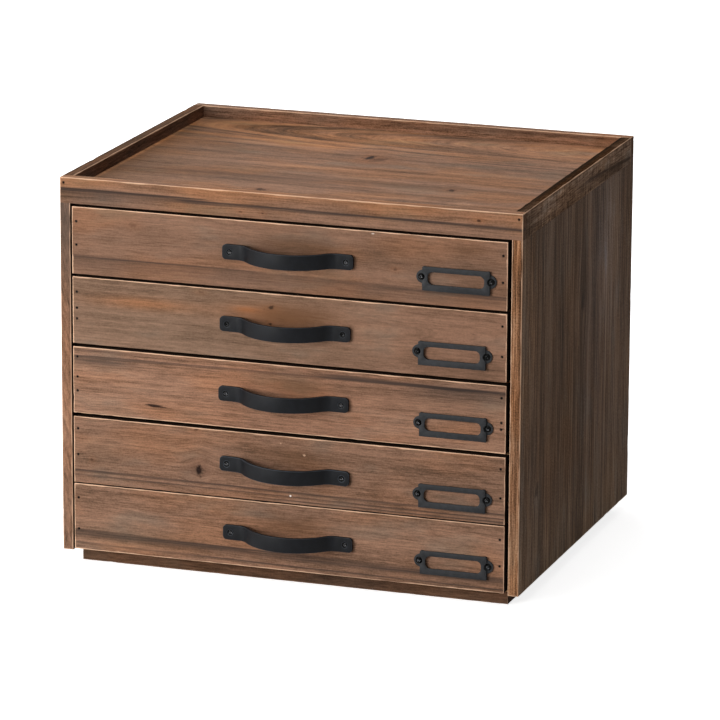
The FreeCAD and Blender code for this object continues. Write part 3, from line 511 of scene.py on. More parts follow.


# a board cut from its CAD solid: same faces, grooves and rebates, with eased, chipped and rubbed edges
# edges of the joined sides stay sharp, those of the kept sides keep their stain,
# and the sides in the gaps round the drawers get painted shade
def cutBoard(node, grainAxis, seed, nails, edge=None, wearWidth=1.0, joined="", kept="", sooty=""):
    mesh = frame["nodes"][node].data
    mesh.calc_loop_triangles()
    places = np.array([vert.co for vert in mesh.vertices])
    triangles = np.array([triangle.vertices for triangle in mesh.loop_triangles])
    corners = places[triangles]
    normals = np.cross(corners[:, 1] - corners[:, 0], corners[:, 2] - corners[:, 0])
    areas = np.linalg.norm(normals, axis=1) / 2
    normals = normals / np.maximum(areas[:, None] * 2, 1e-15)
    low, high = places.min(0), places.max(0)
    size = high - low
    eased = (edge or boardCut["edge"]) * mm
    touch, apart = boardCut["touch"], boardCut["apart"]

    heads = [(axis, end) for axis, end in nails
             if np.all(end > low - 1e-5) and np.all(end < high + 1e-5)
             and min(end[axis] - low[axis], high[axis] - end[axis]) < boardCut["nailReach"] * mm]
    planes, cuts = [], []
    for axis in range(3):
        flat = np.abs(normals[:, axis]) > boardCut["flatness"]
        area = {}
        for height, share in zip(np.round(corners[flat, 0, axis], 5), areas[flat]):
            area[height] = area.get(height, 0) + share
        found = sorted(h for h, a in area.items() if a > boardCut["leastFace"] * mm * mm)
        inner = [h for h in found if low[axis] + apart < h < high[axis] - apart]
        found = [low[axis], *inner, high[axis]]
        planes.append(np.array(found))
        cuts.append(cutLines(found, eased, [end[axis] for other, end in heads if other != axis],
                             boardCut["step"] * mm))

    # which blocks between the solid's faces are wood
    tree = BVHTree.FromPolygons([Vector(p) for p in places], triangles.tolist())
    heading = Vector((0.31, 0.57, 0.76)).normalized()
    wood = np.zeros([len(p) - 1 for p in planes], bool)
    for block in np.ndindex(wood.shape):
        votes = 0
        for share in (0.37, 0.5, 0.61):
            spot = Vector([p[i] + (p[i + 1] - p[i]) * share for p, i in zip(planes, block)])
            hit = tree.ray_cast(spot, heading)
            votes += hit[0] is not None and hit[1].dot(heading) > 0
        wood[block] = votes >= 2
    at = [np.searchsorted(p, (c[1:] + c[:-1]) / 2) - 1 for p, c in zip(planes, cuts)]
    filled = np.pad(wood[np.ix_(*at)], 1)

    counts = [len(c) for c in cuts]
    faces = []
    for axis in range(3):
        second, third = (axis + 1) % 3, (axis + 2) % 3
        trim = [slice(1, -1)] * 3
        trim[axis] = slice(0, -1)
        before = filled[tuple(trim)]
        trim[axis] = slice(1, None)
        after = filled[tuple(trim)]
        for where, order in ((before & ~after, (0, 1, 2, 3)), (after & ~before, (3, 2, 1, 0))):
            first = np.argwhere(where)
            ring = []
            for b, c in ((0, 0), (1, 0), (1, 1), (0, 1)):
                spot = first.copy()
                spot[:, second] += b
                spot[:, third] += c
                ring.append((spot[:, 0] * counts[1] + spot[:, 1]) * counts[2] + spot[:, 2])
            faces.append(np.stack(ring, 1)[:, order])
    faces = np.concatenate(faces)
    used, faces = np.unique(faces, return_inverse=True)
    faces = faces.reshape(-1, 4)
    index = np.stack(np.unravel_index(used, counts), 1)
    points = np.stack([cuts[axis][index[:, axis]] for axis in range(3)], 1)

    # ease the edges, more where a chip is, and bow the faces a little inwards
    sides = [sign + axis for axis in "xyz" for sign in "-+"]
    free = np.array([side not in joined.split() for side in sides], float).reshape(3, 2)
    toLow, toHigh = points - low, high - points
    radius = eased * (0.7 + 0.5 * wander(points, boardCut["easeWave"] * mm, seed))
    chipped = wander(points, boardCut["chipWave"] * mm, seed + 1)
    radius *= 1 + boardCut["chip"] * easeBetween(chipped, boardCut["chipFrom"], boardCut["chipTo"])
    radius = np.minimum(radius, size.min() * 0.3)[:, None]
    core = np.clip(points, low + radius * free[:, 0], high - radius * free[:, 1])
    off = points - core
    length = np.linalg.norm(off, axis=1, keepdims=True)
    moved = core + off * np.abs(off).max(1, keepdims=True) / np.maximum(length, 1e-12)
    dip = boardCut["warp"] * mm * wander(points, boardCut["warpWave"] * mm, seed + 2)[:, None]
    moved += ((toLow < touch) * free[:, 0] - (toHigh < touch) * free[:, 1]) * dip
    soot = np.zeros(len(points))
    for axis, end in heads:
        onLow = end[axis] - low[axis] < high[axis] - end[axis]
        others = [a for a in range(3) if a != axis]
        away = np.linalg.norm(points[:, others] - end[others], axis=1)
        face = (toLow if onLow else toHigh)[:, axis] < touch
        slope = easeBetween(away, boardCut["nailCore"] * mm, boardCut["dimpleRadius"] * mm)
        sunk = boardCut["dimple"] * mm * (1 - slope)
        moved[:, axis] += np.where(face, sunk if onLow else -sunk, 0)
        ringed = 1 - easeBetween(away, boardCut["holeCore"] * mm, boardCut["holeSoot"] * mm)
        soot = np.maximum(soot, np.where(face, ringed, 0))
    # painted shade on the sides in the gaps: from just behind the front face, fading out deep inside
    behind = easeBetween(toLow[:, 1], boardCut["sootFrom"] * mm, boardCut["sootTo"] * mm)
    behind *= 1 - easeBetween(toLow[:, 1], boardCut["sootFades"] * mm, boardCut["sootEnds"] * mm)
    for side in sooty.split():
        axis = "xyz".index(side[1])
        face = (toHigh if side[0] == "+" else toLow)[:, axis] < touch
        soot = np.maximum(soot, np.where(face, behind, 0))

    built = bpy.data.meshes.new(node + ".board")
    built.from_pydata(moved.tolist(), [], faces.tolist())
    built.polygons.foreach_set("use_smooth", np.ones(len(faces), bool))
    built.set_sharp_from_angle(angle=math.radians(boardCut["creaseAngle"]))

    grain = "xyz".index(grainAxis)
    rest = sorted((axis for axis in range(3) if axis != grain), key=lambda axis: -size[axis])
    local = (points - (low + high) / 2)[:, [grain, *rest]] / mm
    rubWidth = boardCut["rubbed"] * wearWidth * mm
    rubWidth = rubWidth * (0.6 + 0.8 * wander(points, boardCut["rubWave"] * mm, seed + 3))
    bare = np.array([side not in (joined + " " + kept).split() for side in sides], float).reshape(3, 2)
    nearest = np.sort(np.minimum(toLow + 1 - bare[:, 0], toHigh + 1 - bare[:, 1]), 1)
    rub = np.clip(1 - nearest[:, 1] / rubWidth, 0, 1) * (nearest[:, 0] < touch)
    ends = (np.minimum(toLow, toHigh)[:, grain] < touch).astype(float)
    layers = {"grain": local, "wear": rub, "endCut": ends, "soot": soot}
    for name, values in layers.items():
        kind, field = ("FLOAT_VECTOR", "vector") if name == "grain" else ("FLOAT", "value")
        layer = built.attributes.new(name, kind, "POINT")
        layer.data.foreach_set(field, np.ascontiguousarray(values, np.float32).ravel())
    built.update()
    return built


def addPiece(name, mesh, material, node):
    piece = bpy.data.objects.new(name, mesh)
    scene.collection.objects.link(piece)
    mesh.materials.clear()
    mesh.materials.append(material)
    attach(piece, bodyOf[node])
    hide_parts(node)


# a greyer, darker copy of the stain for the right side: painted shade for the side that faces away from the
# lamps
shadowSide = {
    "dark": (62, 49, 40), "low": (104, 83, 68), "middle": (134, 107, 88), "high": (156, 129, 109),
    "light": (186, 160, 140), "flush": (1.12, 1.0, 0.86), "grey": (0.8, 0.94, 1.1), "wear": 0.7,
}
# boards that show: grain direction, sides that are joined or lie in a gap, and what the stain and the
# painted shade show on each, in mm from the board's middle
shownBoards = {
    "drawer_1_front": {
        "grain": "x", "seed": 1, "pith": 66.0, "shade": 0.92, "contrast": 0.65, "kept": "-z",
        "bands": [
            {"v": -13.0, "rise": -0.012, "wide": 3.6, "dark": 0.8},
            {"v": -18.0, "rise": -0.01, "wide": 6.0, "dark": 0.4, "soft": 0.8},
        ],
        "knots": [
            {"u": 81.7, "v": -1.5, "long": 2.4, "high": 1.4, "dark": 0.45},
            {"u": -117.6, "v": 14.7, "long": 4.0, "high": 2.0, "dark": 0.3},
        ],
        "flecks": [
            {"u": 64.9, "v": 23.2, "long": 1.3, "high": 0.6, "pale": 0.6, "colour": (236, 222, 208)},
        ],
    },
    "drawer_2_front": {
        "grain": "x", "seed": 2, "pith": 5.0, "heart": 9.0, "taper": 0.03, "contrast": 0.65,
        "greyness": 0.65, "warmth": 0.05, "shade": 1.03, "kept": "-z",
        "knots": [
            {"u": -8.0, "v": 8.0, "long": 20.0, "high": 4.5, "dark": 0.1, "glow": 0.8},
            {"u": -12.0, "v": 14.4, "long": 3.8, "high": 1.8, "dark": 0.85},
            {"u": -12.6, "v": 2.4, "long": 2.0, "high": 1.5, "dark": 0.8},
            {"u": -66.0, "v": 21.5, "long": 3.0, "high": 1.2, "dark": 0.4},
        ],
        "smudges": [
            {"u": -110.0, "v": 9.2, "long": 38.0, "high": 4.6, "dark": 1.0, "tint": (1.42, 1.07, 0.8)},
            {"u": -31.0, "v": 11.6, "long": 10.0, "high": 2.2, "dark": 1.0, "tint": (1.36, 1.08, 0.84)},
            {"u": -60.0, "v": 0.0, "long": 200.0, "high": 200.0, "dark": 1.0, "tint": (0.93, 1.03, 1.06)},
            {"u": 110.0, "v": 0.0, "long": 110.0, "high": 200.0, "dark": 1.0, "tint": (1.02, 0.96, 0.94)},
        ],
    },
    "drawer_3_front": {
        "grain": "x", "seed": 3, "pith": 80.0, "shade": 1.12,
        "bands": [
            {"v": 19.2, "rise": 0.004, "wide": 2.4, "dark": 0.9},
            {"v": 15.2, "rise": 0.0, "wide": 5.2, "dark": 0.75, "to": -125.0, "soft": 0.8},
            {"v": 23.0, "rise": 0.0, "wide": 2.4, "dark": 0.6, "to": -110.0},
            {"v": 22.0, "rise": -0.02, "wide": 4.5, "dark": 0.75, "from": 30.0},
        ],
        "knots": [
            {"u": -101.1, "v": -14.3, "long": 9.5, "high": 1.7, "dark": 1.0, "glow": 0.1},
        ],
        "smudges": [
            {"u": 115.0, "v": 9.0, "long": 60.0, "high": 9.0, "dark": 0.3},
            {"u": 10.0, "v": 0.0, "long": 90.0, "high": 200.0, "dark": 1.0, "tint": (1.03, 0.97, 0.94)},
            {"u": 128.0, "v": 16.0, "long": 38.0, "high": 6.5, "dark": 1.0, "tint": (0.5, 0.55, 0.6)},
        ],
    },
    "drawer_4_front": {
        "grain": "x", "seed": 4, "pith": 75.0, "shade": 0.95, "kept": "-z",
        "bands": [
            {"v": -16.2, "rise": -0.006, "wide": 2.2, "dark": 0.85},
            {"v": -19.6, "rise": -0.006, "wide": 1.7, "dark": 0.8},
            {"v": -22.4, "rise": -0.004, "wide": 1.4, "dark": 0.75, "from": -10.0},
        ],
        "knots": [
            {"u": -67.5, "v": -7.0, "long": 4.2, "high": 5.8, "dark": 0.95, "glow": 0.1, "flow": 0.6},
            {"u": -69.2, "v": 23.7, "long": 2.6, "high": 1.6, "dark": 0.6},
            {"u": -150.6, "v": -6.8, "long": 1.5, "high": 1.5, "dark": 0.5},
        ],
        "smudges": [
            {"u": -68.0, "v": -5.0, "long": 11.0, "high": 8.0, "dark": 0.8, "tint": (0.7, 0.7, 0.72)},
            {"u": -145.0, "v": -4.0, "long": 25.0, "high": 14.0, "dark": 0.8, "tint": (0.82, 0.86, 0.86)},
        ],
        "flecks": [
            {"u": 13.6, "v": 12.2, "long": 1.2, "high": 0.9, "pale": 0.5},
            {"u": -4.4, "v": 19.4, "long": 0.7, "high": 0.7, "pale": 0.35},
            {"u": 3.1, "v": -19.2, "long": 0.8, "high": 0.8, "pale": 1.0, "colour": (250, 244, 236)},
        ],
    },
    "drawer_5_front": {
        "grain": "x", "seed": 5, "pith": 90.0,
        "bands": [
            {"v": -12.8, "rise": -0.012, "wide": 6.5, "dark": 1.0},
            {"v": -21.0, "rise": -0.008, "wide": 1.6, "dark": 0.9},
        ],
        "smudges": [
            {"u": -120.0, "v": -12.0, "long": 50.0, "high": 8.0, "dark": 0.9, "tint": (0.78, 0.85, 0.86)},
        ],
    },
    "tray_front_rail": {
        "grain": "x", "seed": 6, "pith": 50.0, "joined": "-z", "contrast": 0.9, "reach": 2.0,
        "shade": 0.92, "flush": (1.12, 1.0, 0.84), "warmth": 1.0, "wear": 0.72,
        "smudges": [
            {"u": -20.0, "v": 7.0, "long": 200.0, "high": 5.0, "dark": 0.7, "tint": (1.2, 1.08, 0.94)},
            {"u": -155.0, "v": -4.0, "long": 50.0, "high": 5.0, "dark": 1.0, "tint": (0.58, 0.64, 0.7)},
            {"u": 140.0, "v": 3.0, "long": 50.0, "high": 4.0, "dark": 0.9, "tint": (1.4, 1.3, 1.2)},
        ],
        "bands": [
            {"v": 1.1, "rise": -0.004, "wide": 0.7, "dark": 2.2, "to": -75.0, "soft": 0.4},
            {"v": 0.6, "rise": -0.004, "wide": 5.0, "dark": 0.95, "to": -70.0},
            {"v": -0.7, "rise": -0.004, "wide": 3.2, "dark": 1.15, "from": -75.0},
        ],
        "knots": [
            {"u": 142.3, "v": 2.2, "long": 2.4, "high": 1.4, "dark": 0.8},
            {"u": -36.0, "v": -5.4, "long": 2.0, "high": 0.9, "dark": 0.6},
            {"u": -19.2, "v": -5.1, "long": 1.8, "high": 0.9, "dark": 0.6},
        ],
    },
    "tray_back_rail": {
        "grain": "x", "seed": 7, "pith": 45.0, "shade": 0.92, "joined": "-z", "kept": "+y",
        "contrast": 1.3, "warmth": 0.9, "wear": 0.7,
        "smudges": [
            {"u": 90.0, "v": 7.0, "long": 110.0, "high": 2.4, "dark": 0.9, "tint": (0.62, 0.6, 0.58)},
            {"u": 50.0, "v": 2.5, "long": 120.0, "high": 1.8, "dark": 0.9, "tint": (1.35, 1.25, 1.15)},
        ],
    },
    "tray_left_rail": {
        "grain": "y", "seed": 8, "pith": 40.0, "shade": 0.6, "greyness": 0.8, "joined": "-z -y +y",
        "kept": "-x", "wear": 0.7, "contrast": 1.4, "shine": 0.01,
        "smudges": [
            {"u": 0.0, "v": 10.0, "long": 400.0, "high": 1.6, "dark": 1.0, "tint": (0.58, 0.54, 0.45)},
        ],
    },
    "tray_right_rail": {
        "grain": "y", "seed": 9, "pith": 38.0, **shadowSide, "shade": 1.7, "wear": 0.7, "shine": 0.0,
        "joined": "-z -y +y", "kept": "-x", "contrast": 1.3, "sawn": 1.2,
        "bands": [
            {"v": 1.0, "rise": -0.045, "wide": 3.0, "dark": 0.9, "from": 20.0},
        ],
        "smudges": [
            {"u": 0.0, "v": 10.0, "long": 400.0, "high": 1.6, "dark": 1.15, "tint": (0.13, 0.092, 0.06)},
            {"u": 95.0, "v": -6.0, "long": 45.0, "high": 5.0, "dark": 0.7},
            {"u": -130.0, "v": -2.0, "long": 22.0, "high": 12.0, "dark": 0.6},
            {"u": 0.0, "v": 9.8, "long": 400.0, "high": 12.0, "w": -4.2, "deep": 4.2, "dark": 1.0,
             "colour": (31, 24, 18)},
        ],
    },
    "top_board": {
        "grain": "x", "seed": 10, "pith": 107.0, "heart": 30.0, "taper": -0.08, "contrast": 1.2,
        "rings": 0.33, "flush": (1.24, 1.02, 0.76), "warmth": 0.6,
        "smudges": [
            # darker towards the left end: painted shade by the left rail, with dirt
            {"u": -178.0, "v": 10.0, "long": 80.0, "high": 400.0, "dark": 1.0, "tint": (0.64, 0.62, 0.56)},
            {"u": -60.0, "v": -50.0, "long": 130.0, "high": 9.0, "dark": 0.4},
            {"u": -150.0, "v": 92.0, "long": 50.0, "high": 50.0, "dark": 0.9, "tint": (0.72, 0.72, 0.72)},
            # painted contact shadow of the front rail on the tray floor
            {"u": 60.0, "v": -131.5, "long": 150.0, "high": 2.5, "dark": 1.0, "tint": (0.5, 0.45, 0.4)},
            {"u": -166.0, "v": -10.0, "long": 2.2, "high": 150.0, "dark": 1.0, "tint": (2.4, 2.2, 1.9)},
            {"u": 112.0, "v": -86.0, "long": 8.0, "high": 7.0, "dark": 0.9, "tint": (1.3, 1.32, 1.3)},
        ],
        "joined": "-x +x -y +y",
        "flame": {"v": 62.0, "fade": 22.0, "strength": 0.6, "spacing": 23.0, "late": 0.26, "lift": 0.09},
        "bands": [
            {"v": 61.0, "rise": -0.23, "wide": 6.0, "dark": 0.9, "to": -90.0},
            {"v": 43.5, "rise": -0.076, "wide": 4.5, "dark": 0.9, "from": -135.0, "to": -55.0},
            {"v": 55.0, "rise": -0.07, "wide": 4.5, "dark": 0.9, "from": 80.0},
            {"v": -50.0, "rise": 0.0, "wide": 4.0, "dark": 0.5, "to": -20.0},
        ],
        "knots": [
            {"u": 1.0, "v": 36.0, "long": 5.0, "high": 10.0, "dark": 0.95},
            {"u": 10.0, "v": 33.0, "long": 9.0, "high": 9.0, "dark": 0.5},
            {"u": -39.5, "v": -91.0, "long": 6.0, "high": 5.0, "dark": 0.8},
            {"u": 92.0, "v": -47.0, "long": 4.0, "high": 5.0, "dark": 0.85},
        ],
    },
    "right_side_panel": {
        "grain": "z", "seed": 12, "pith": -190.0, "heart": 40.0, **shadowSide, "shade": 0.74,
        "contrast": 2.1, "reach": 4.0, "sway": 3.0, "ripple": 0.3, "joined": "+z", "sooty": "-x",
        "smudges": [
            # the front edge faces the lamps, so it is warmed back from the painted shade of the side
            {"u": 0.0, "v": -140.0, "long": 900.0, "high": 0.5, "dark": 1.0, "tint": (1.2, 0.92, 0.7)},
            {"u": 80.0, "v": 72.0, "long": 55.0, "high": 26.0, "dark": 0.9, "tint": (1.55, 1.68, 1.85)},
            {"u": 50.0, "v": 48.0, "long": 100.0, "high": 40.0, "dark": 0.8, "tint": (1.12, 1.17, 1.3)},
            {"u": 40.0, "v": 118.0, "long": 110.0, "high": 36.0, "dark": 0.9, "tint": (1.3, 1.3, 1.3)},
            {"u": 70.0, "v": -122.0, "long": 80.0, "high": 22.0, "dark": 0.9, "tint": (1.7, 1.65, 1.55)},
            {"u": -125.0, "v": 0.0, "long": 40.0, "high": 400.0, "dark": 0.9, "tint": (1.5, 1.54, 1.5)},
            {"u": -20.0, "v": -40.0, "long": 80.0, "high": 60.0, "dark": 0.9, "tint": (0.92, 0.84, 0.74)},
            {"u": 70.0, "v": 14.0, "long": 26.0, "high": 7.0, "dark": 0.7},
            {"u": 22.0, "v": 8.0, "long": 18.0, "high": 4.0, "dark": 0.6},
        ],
        "bands": [
            {"v": -90.0, "rise": 0.01, "wide": 6.0, "dark": 0.5},
            {"v": 70.0, "rise": 0.01, "wide": 3.0, "dark": 0.6},
        ],
        "knots": [
            {"u": 52.0, "v": 12.0, "long": 13.0, "high": 6.0, "dark": 0.7, "glow": 0.0, "flow": 0.7},
            {"u": -63.0, "v": -98.0, "long": 7.0, "high": 5.0, "dark": 0.6, "glow": 0.0, "flow": 0.7},
        ],
        "flecks": [
            {"u": 40.0, "v": 14.0, "long": 1.8, "high": 1.6, "pale": 0.5, "colour": (134, 112, 86)},
            {"u": 22.0, "v": 2.0, "long": 2.4, "high": 1.6, "pale": 0.5, "colour": (134, 112, 86)},
            {"u": -10.0, "v": -2.0, "long": 34.0, "high": 0.7, "pale": 0.4, "colour": (120, 102, 84)},
        ],
    },
    "left_side_panel": {
        "grain": "z", "seed": 14, "pith": 20.0, "heart": 60.0, "taper": 0.25, "rings": 0.35, "shade": 0.9,
        "greyness": 0.6, "wear": 0.7, "joined": "+z", "sooty": "+x", "contrast": 1.3,
        "smudges": [
            {"u": 112.0, "v": -140.0, "long": 46.0, "high": 3.0, "dark": 0.6, "colour": (84, 74, 68)},
        ],
    },
    "plinth_front": {"grain": "x", "seed": 15, "shade": 0.5, "wear": 0.3, "joined": "+z"},
    "plinth_back": {"grain": "x", "seed": 16, "shade": 0.5, "wear": 0.3, "joined": "+z"},
    "plinth_left": {"grain": "y", "seed": 17, "shade": 0.5, "wear": 0.3, "joined": "+z -y +y"},
    "plinth_right": {"grain": "y", "seed": 18, "shade": 0.5, "wear": 0.3, "joined": "+z -y +y"},
}
# painted shadow of each handle's strap on the wood over it, and painted shade on the sides of each front in
# the gaps
for number in range(1, 6):
    shownBoards[f"drawer_{number}_front"].update({
        "sooty": "-x +x -z +z",
        "smudges": [{"u": 8.0, "v": 10.0, "long": 30.0, "high": 7.0, "dark": 0.5, "colour": (92, 66, 46)},
                    *shownBoards[f"drawer_{number}_front"].get("smudges", ())],
    })
innerCut = {"seed": 400, "edge": 0.4, "wearWidth": 0.5}
hiddenBoards = {"bottom_board": "x", "back_panel": "z"}
for number in range(1, 5):
    hiddenBoards[f"runner_pair_{number}"] = "y"
for number in range(1, 6):
    hiddenBoards.update({f"drawer_{number}_left_side": "y", f"drawer_{number}_right_side": "y",
                         f"drawer_{number}_back": "x", f"drawer_{number}_bottom": "x"})

carcassNails = nailEnds("carcass_nails")
drawerNails = {f"drawer_{number}": nailEnds(f"drawer_{number}_fasteners") for number in range(1, 6)}
for node, look in shownBoards.items():
    nails = drawerNails.get(bodyOf[node], carcassNails)
    mesh = cutBoard(node, look["grain"], look["seed"] * 10, nails, joined=look.get("joined", ""),
                    kept=look.get("kept", ""), sooty=look.get("sooty", ""))
    addPiece(node + ".board", mesh, stainedWood(node + " stain", look), node)
print("stained boards cut:", len(shownBoards))

innerFinish = stainedWood("planed softwood", bareWood)
plyFinish = stainedWood("ply veneer", plyWood)
for order, (node, grain) in enumerate(hiddenBoards.items()):
    nails = drawerNails.get(bodyOf[node], carcassNails)
    mesh = cutBoard(node, grain, innerCut["seed"] + order, nails, innerCut["edge"], innerCut["wearWidth"])
    addPiece(node + ".board", mesh, plyFinish if slotOf[node] == "plywood" else innerFinish, node)
print("inner boards cut:", len(hiddenBoards))


# colours, gloss and wear of each iron, how wide in mm its edges are filed and in how many cuts
iron = {
    # the handle's lighter filed edges: rubbed iron with a painted highlight
    "handle": {"colour": (15, 16, 19), "worn": (64, 69, 75), "rough": 0.5, "wear": 0.65, "rub": 0.9,
               "shine": 0.11, "mottle": 160.0, "filed": 0.45, "cuts": 3},
    # the holder's darker filed edges: black iron with painted shade
    "label": {"colour": (35, 36, 38), "worn": (20, 19, 18), "rough": 0.5, "wear": 0.9, "rub": 1.4,
              "shine": 0.16, "mottle": 260.0, "filed": 0.32, "cuts": 2},
    # the bright colour in the screws' crosses: bare steel from the driver with a painted glint
    "screw": {"colour": (4, 4, 4), "worn": (205, 205, 210), "rough": 0.25, "wear": 0.9, "rub": 1.2,
              "shine": 0.07, "mottle": 160.0, "filed": 0.1, "cuts": 1},
    "nail": {"colour": (24, 18, 15), "worn": (60, 50, 44), "rough": 0.7, "wear": 0.0, "rub": 0.0,
             "shine": 0.05, "mottle": 160.0},
}
gritScale = 1500.0


# blackened iron with a faint cast grain, and another colour along the filed edges: rubbed iron with a
# painted highlight on the handles, black iron with painted shade on the holders, bare steel with painted
# glints in the screws' crosses
def blackIron(name, look):
    finish = Finish(name)
    x, y, z = finish.parts(finish.node("ShaderNodeTexCoord", {}, {}, "Object"))
    mottle = finish.noise(x * look["mottle"], y * look["mottle"], z * look["mottle"], 3.0, 0.55)
    grit = finish.noise(x * gritScale, y * gritScale, z * gritScale, 2.0)
    rub = finish.attribute("wear")
    worn = (rub * look["rub"] + (mottle - 0.5) * 1.4).eased(0.3, 0.95) * look["wear"]
    dark = finish.mixed(mottle.eased(0.35, 0.7), paint(*look["colour"], 0.75), paint(*look["colour"], 1.3))
    return finish.surface({
        "Base Color": finish.mixed(worn, dark, paint(*look["worn"])),
        "Roughness": look["rough"] + (mottle - 0.5) * 0.35 + (grit - 0.5) * 0.1,
        "Specular IOR Level": look["shine"],
    }, mottle * 0.7 + grit * 0.3, 0.25)


filing = {
    "sharp": 38,      # degrees, sharper edges are filed
    "flat": 0.4,      # degrees, flatter faces are joined
    "smooth": 32,
    "cross": 1.15,    # mm that the cross reaches from a screw's middle
}


# a fitting's CAD solids with their flat faces joined, and the layer that marks filed faces
def bareFitting(node):
    shape = welded(node)
    filed = shape.faces.layers.float.new("wear")
    bmesh.ops.dissolve_limit(shape, angle_limit=math.radians(filing["flat"]),
                             verts=shape.verts, edges=shape.edges)
    return shape, filed


# files the edges round and gives the new faces
def fileEdges(shape, edges, look):
    made = bmesh.ops.bevel(shape, geom=edges, offset=look["filed"] * mm, offset_type="OFFSET",
                           segments=look["cuts"], profile=0.5, affect="EDGES", clamp_overlap=True)
    return made["faces"]


def addFitting(shape, name, material, node):
    bmesh.ops.triangulate(shape, faces=[face for face in shape.faces if len(face.verts) > 4])
    mesh = bpy.data.meshes.new(name)
    shape.to_mesh(mesh)
    shape.free()
    mesh.polygons.foreach_set("use_smooth", np.ones(len(mesh.polygons), bool))
    mesh.set_sharp_from_angle(angle=math.radians(filing["smooth"]))
    addPiece(name, mesh, material, node)


# an iron fitting with its sharp edges filed round
def filedIron(node, look, material):
    shape, filed = bareFitting(node)
    sharp = math.radians(filing["sharp"])
    edges = [edge for edge in shape.edges if edge.is_manifold and edge.calc_face_angle() > sharp]
    for face in fileEdges(shape, edges, look):
        face[filed] = 1.0
    addFitting(shape, node + ".filed", material, node)


# nails and screws of one drawer, with bright steel in the screws' crosses: bare steel from the driver and a
# painted glint
def glintedSteel(node, look, material):
    shape, filed = bareFitting(node)
    sharp = math.radians(filing["sharp"])
    screws, edges = [], []
    for solid in solidsOf(shape):
        spots = np.array([vert.co for vert in solid])
        size = np.ptp(spots, axis=0)
        if np.sort(size)[1] < boardCut["thickestNail"] * mm:
            continue
        screws.append(spots.min(0) + size / 2)
        own = dict.fromkeys(edge for vert in solid for edge in vert.link_edges)
        edges += [edge for edge in own if edge.calc_face_angle(0) > sharp]
    for face in fileEdges(shape, edges, look):
        place = np.array(face.calc_center_median())
        away = np.linalg.norm((np.array(screws) - place)[:, [0, 2]], axis=1).min()
        face[filed] = float(away < filing["cross"] * mm)
    addFitting(shape, node + ".driven", material, node)


handleFinish = blackIron("black strap iron", iron["handle"])
labelFinish = blackIron("rubbed holder iron", iron["label"])
screwFinish = blackIron("black screw steel", iron["screw"])
nailFinish = blackIron("dull nail steel", iron["nail"])
for number in range(1, 6):
    filedIron(f"drawer_{number}_handle", iron["handle"], handleFinish)
    filedIron(f"drawer_{number}_label_holder", iron["label"], labelFinish)
    glintedSteel(f"drawer_{number}_fasteners", iron["screw"], screwFinish)
frame["nodes"]["carcass_nails"].material_slots[0].material = nailFinish
print("iron fittings filed")


studio = {
    "floor": (240, 240, 240),
    "nearLift": 0.8,        # white that the floor shows by itself, less near the cabinet and its shadow
    "farLift": 1.0,
    "nearReach": 0.28,      # metres from the middle
    "farReach": 0.9,
    "ambient": 0.16,
    "bounce": 0.55,         # share of the floor's colour that lights the cabinet
    "floorReach": 9.0,
    "aim": (0.0, 0.0, 0.14),
    "lamps": {
        "key": {"place": (-1.25, -1.75, 0.35), "width": 1.3, "power": 52.0},
        "overhead": {"place": (-0.35, -0.3, 1.9), "width": 1.4, "power": 22.0},
        "behind": {"place": (-1.2, 1.9, 0.9), "width": 1.2, "power": 14.0},
    },
}


def areaLamp(name, place, aim, width, power):
    data = bpy.data.lights.new(name, "AREA")
    data.shape = "SQUARE"
    data.size = width
    data.energy = power
    lamp = bpy.data.objects.new(name, data)
    scene.collection.objects.link(lamp)
    lamp.location = place
    lamp.rotation_mode = "QUATERNION"
    lamp.rotation_quaternion = (Vector(aim) - Vector(place)).to_track_quat("-Z", "Y")


def seenRays(finish):
    camera, glossy, through = finish.node("ShaderNodeLightPath", {}, {}, (
        "Is Camera Ray", "Is Glossy Ray", "Is Transmission Ray"))
    seen = camera + glossy + through
    return seen.capped(1.0)


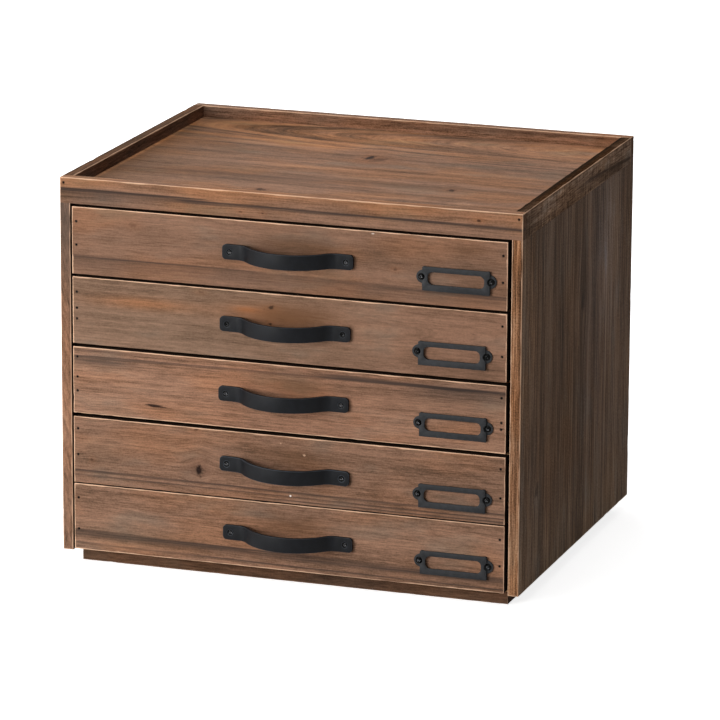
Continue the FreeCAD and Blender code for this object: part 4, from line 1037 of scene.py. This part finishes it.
floorFinish = Finish("studio floor")
floorX, floorY = floorFinish.parts(floorFinish.node("ShaderNodeTexCoord", {}, {}, "Object"))[:2]
fromMiddle = (floorX * floorX + floorY * floorY) ** 0.5
lift = studio["nearLift"] + fromMiddle.eased(studio["nearReach"], studio["farReach"]) * (
    studio["farLift"] - studio["nearLift"])
pale = floorFinish.node("ShaderNodeBsdfDiffuse", {}, {"Color": paint(*studio["floor"])})
dull = floorFinish.node("ShaderNodeBsdfDiffuse", {}, {"Color": paint(*studio["floor"], studio["bounce"])})
white = floorFinish.node("ShaderNodeEmission", {}, {
    "Color": floorFinish.mixed(lift, (0, 0, 0, 1), (1, 1, 1, 1)), "Strength": 1.0})
shown = floorFinish.node("ShaderNodeAddShader", {}, {0: pale, 1: white})
floorShader = floorFinish.node("ShaderNodeMixShader", {}, {0: seenRays(floorFinish), 1: dull, 2: shown})
floorFinish.node("ShaderNodeOutputMaterial", {}, {"Surface": floorShader})
floorMesh = bpy.data.meshes.new("floor")
reach = studio["floorReach"]
floorCorners = [(-reach, -reach, 0), (reach, -reach, 0), (reach, reach, 0), (-reach, reach, 0)]
floorMesh.from_pydata(floorCorners, [], [(0, 1, 2, 3)])
floorMesh.materials.append(floorFinish.material)
floor = bpy.data.objects.new("floor", floorMesh)
scene.collection.objects.link(floor)

world = bpy.data.worlds.new("studio")
scene.world = world
air = Finish("studio", world)
background = air.node("ShaderNodeBackground", {}, {
    "Color": air.mixed(seenRays(air), (studio["ambient"],) * 3 + (1,), (1, 1, 1, 1)), "Strength": 1.0})
air.node("ShaderNodeOutputWorld", {}, {"Surface": background})

for name, lamp in studio["lamps"].items():
    areaLamp(name, lamp["place"], studio["aim"], lamp["width"], lamp["power"])
print("studio lit")


view = {
    "turn": 18.96,       # degrees round the cabinet, from straight in front
    "rise": 14.63,
    "distance": 3.764,
    "lens": 253.4,
    "target": (0.0067, 0.010, 0.1354),
    "roll": 0.29,
    "sensor": 36.0,
    "clipEnd": 60.0,
}
cameraData = bpy.data.cameras.new("camera")
cameraData.lens = view["lens"]
cameraData.sensor_width = view["sensor"]
cameraData.clip_end = view["clipEnd"]
camera = bpy.data.objects.new("camera", cameraData)
scene.collection.objects.link(camera)
turn, rise = math.radians(view["turn"]), math.radians(view["rise"])
back = Vector((math.sin(turn) * math.cos(rise), -math.cos(turn) * math.cos(rise), math.sin(rise)))
camera.rotation_mode = "QUATERNION"
camera.location = Vector(view["target"]) + back * view["distance"]
aimed = (-back).to_track_quat("-Z", "Y").to_matrix() @ Matrix.Rotation(math.radians(view["roll"]), 3, "Z")
camera.rotation_quaternion = aimed.to_quaternion()
scene.camera = camera
print("camera set")
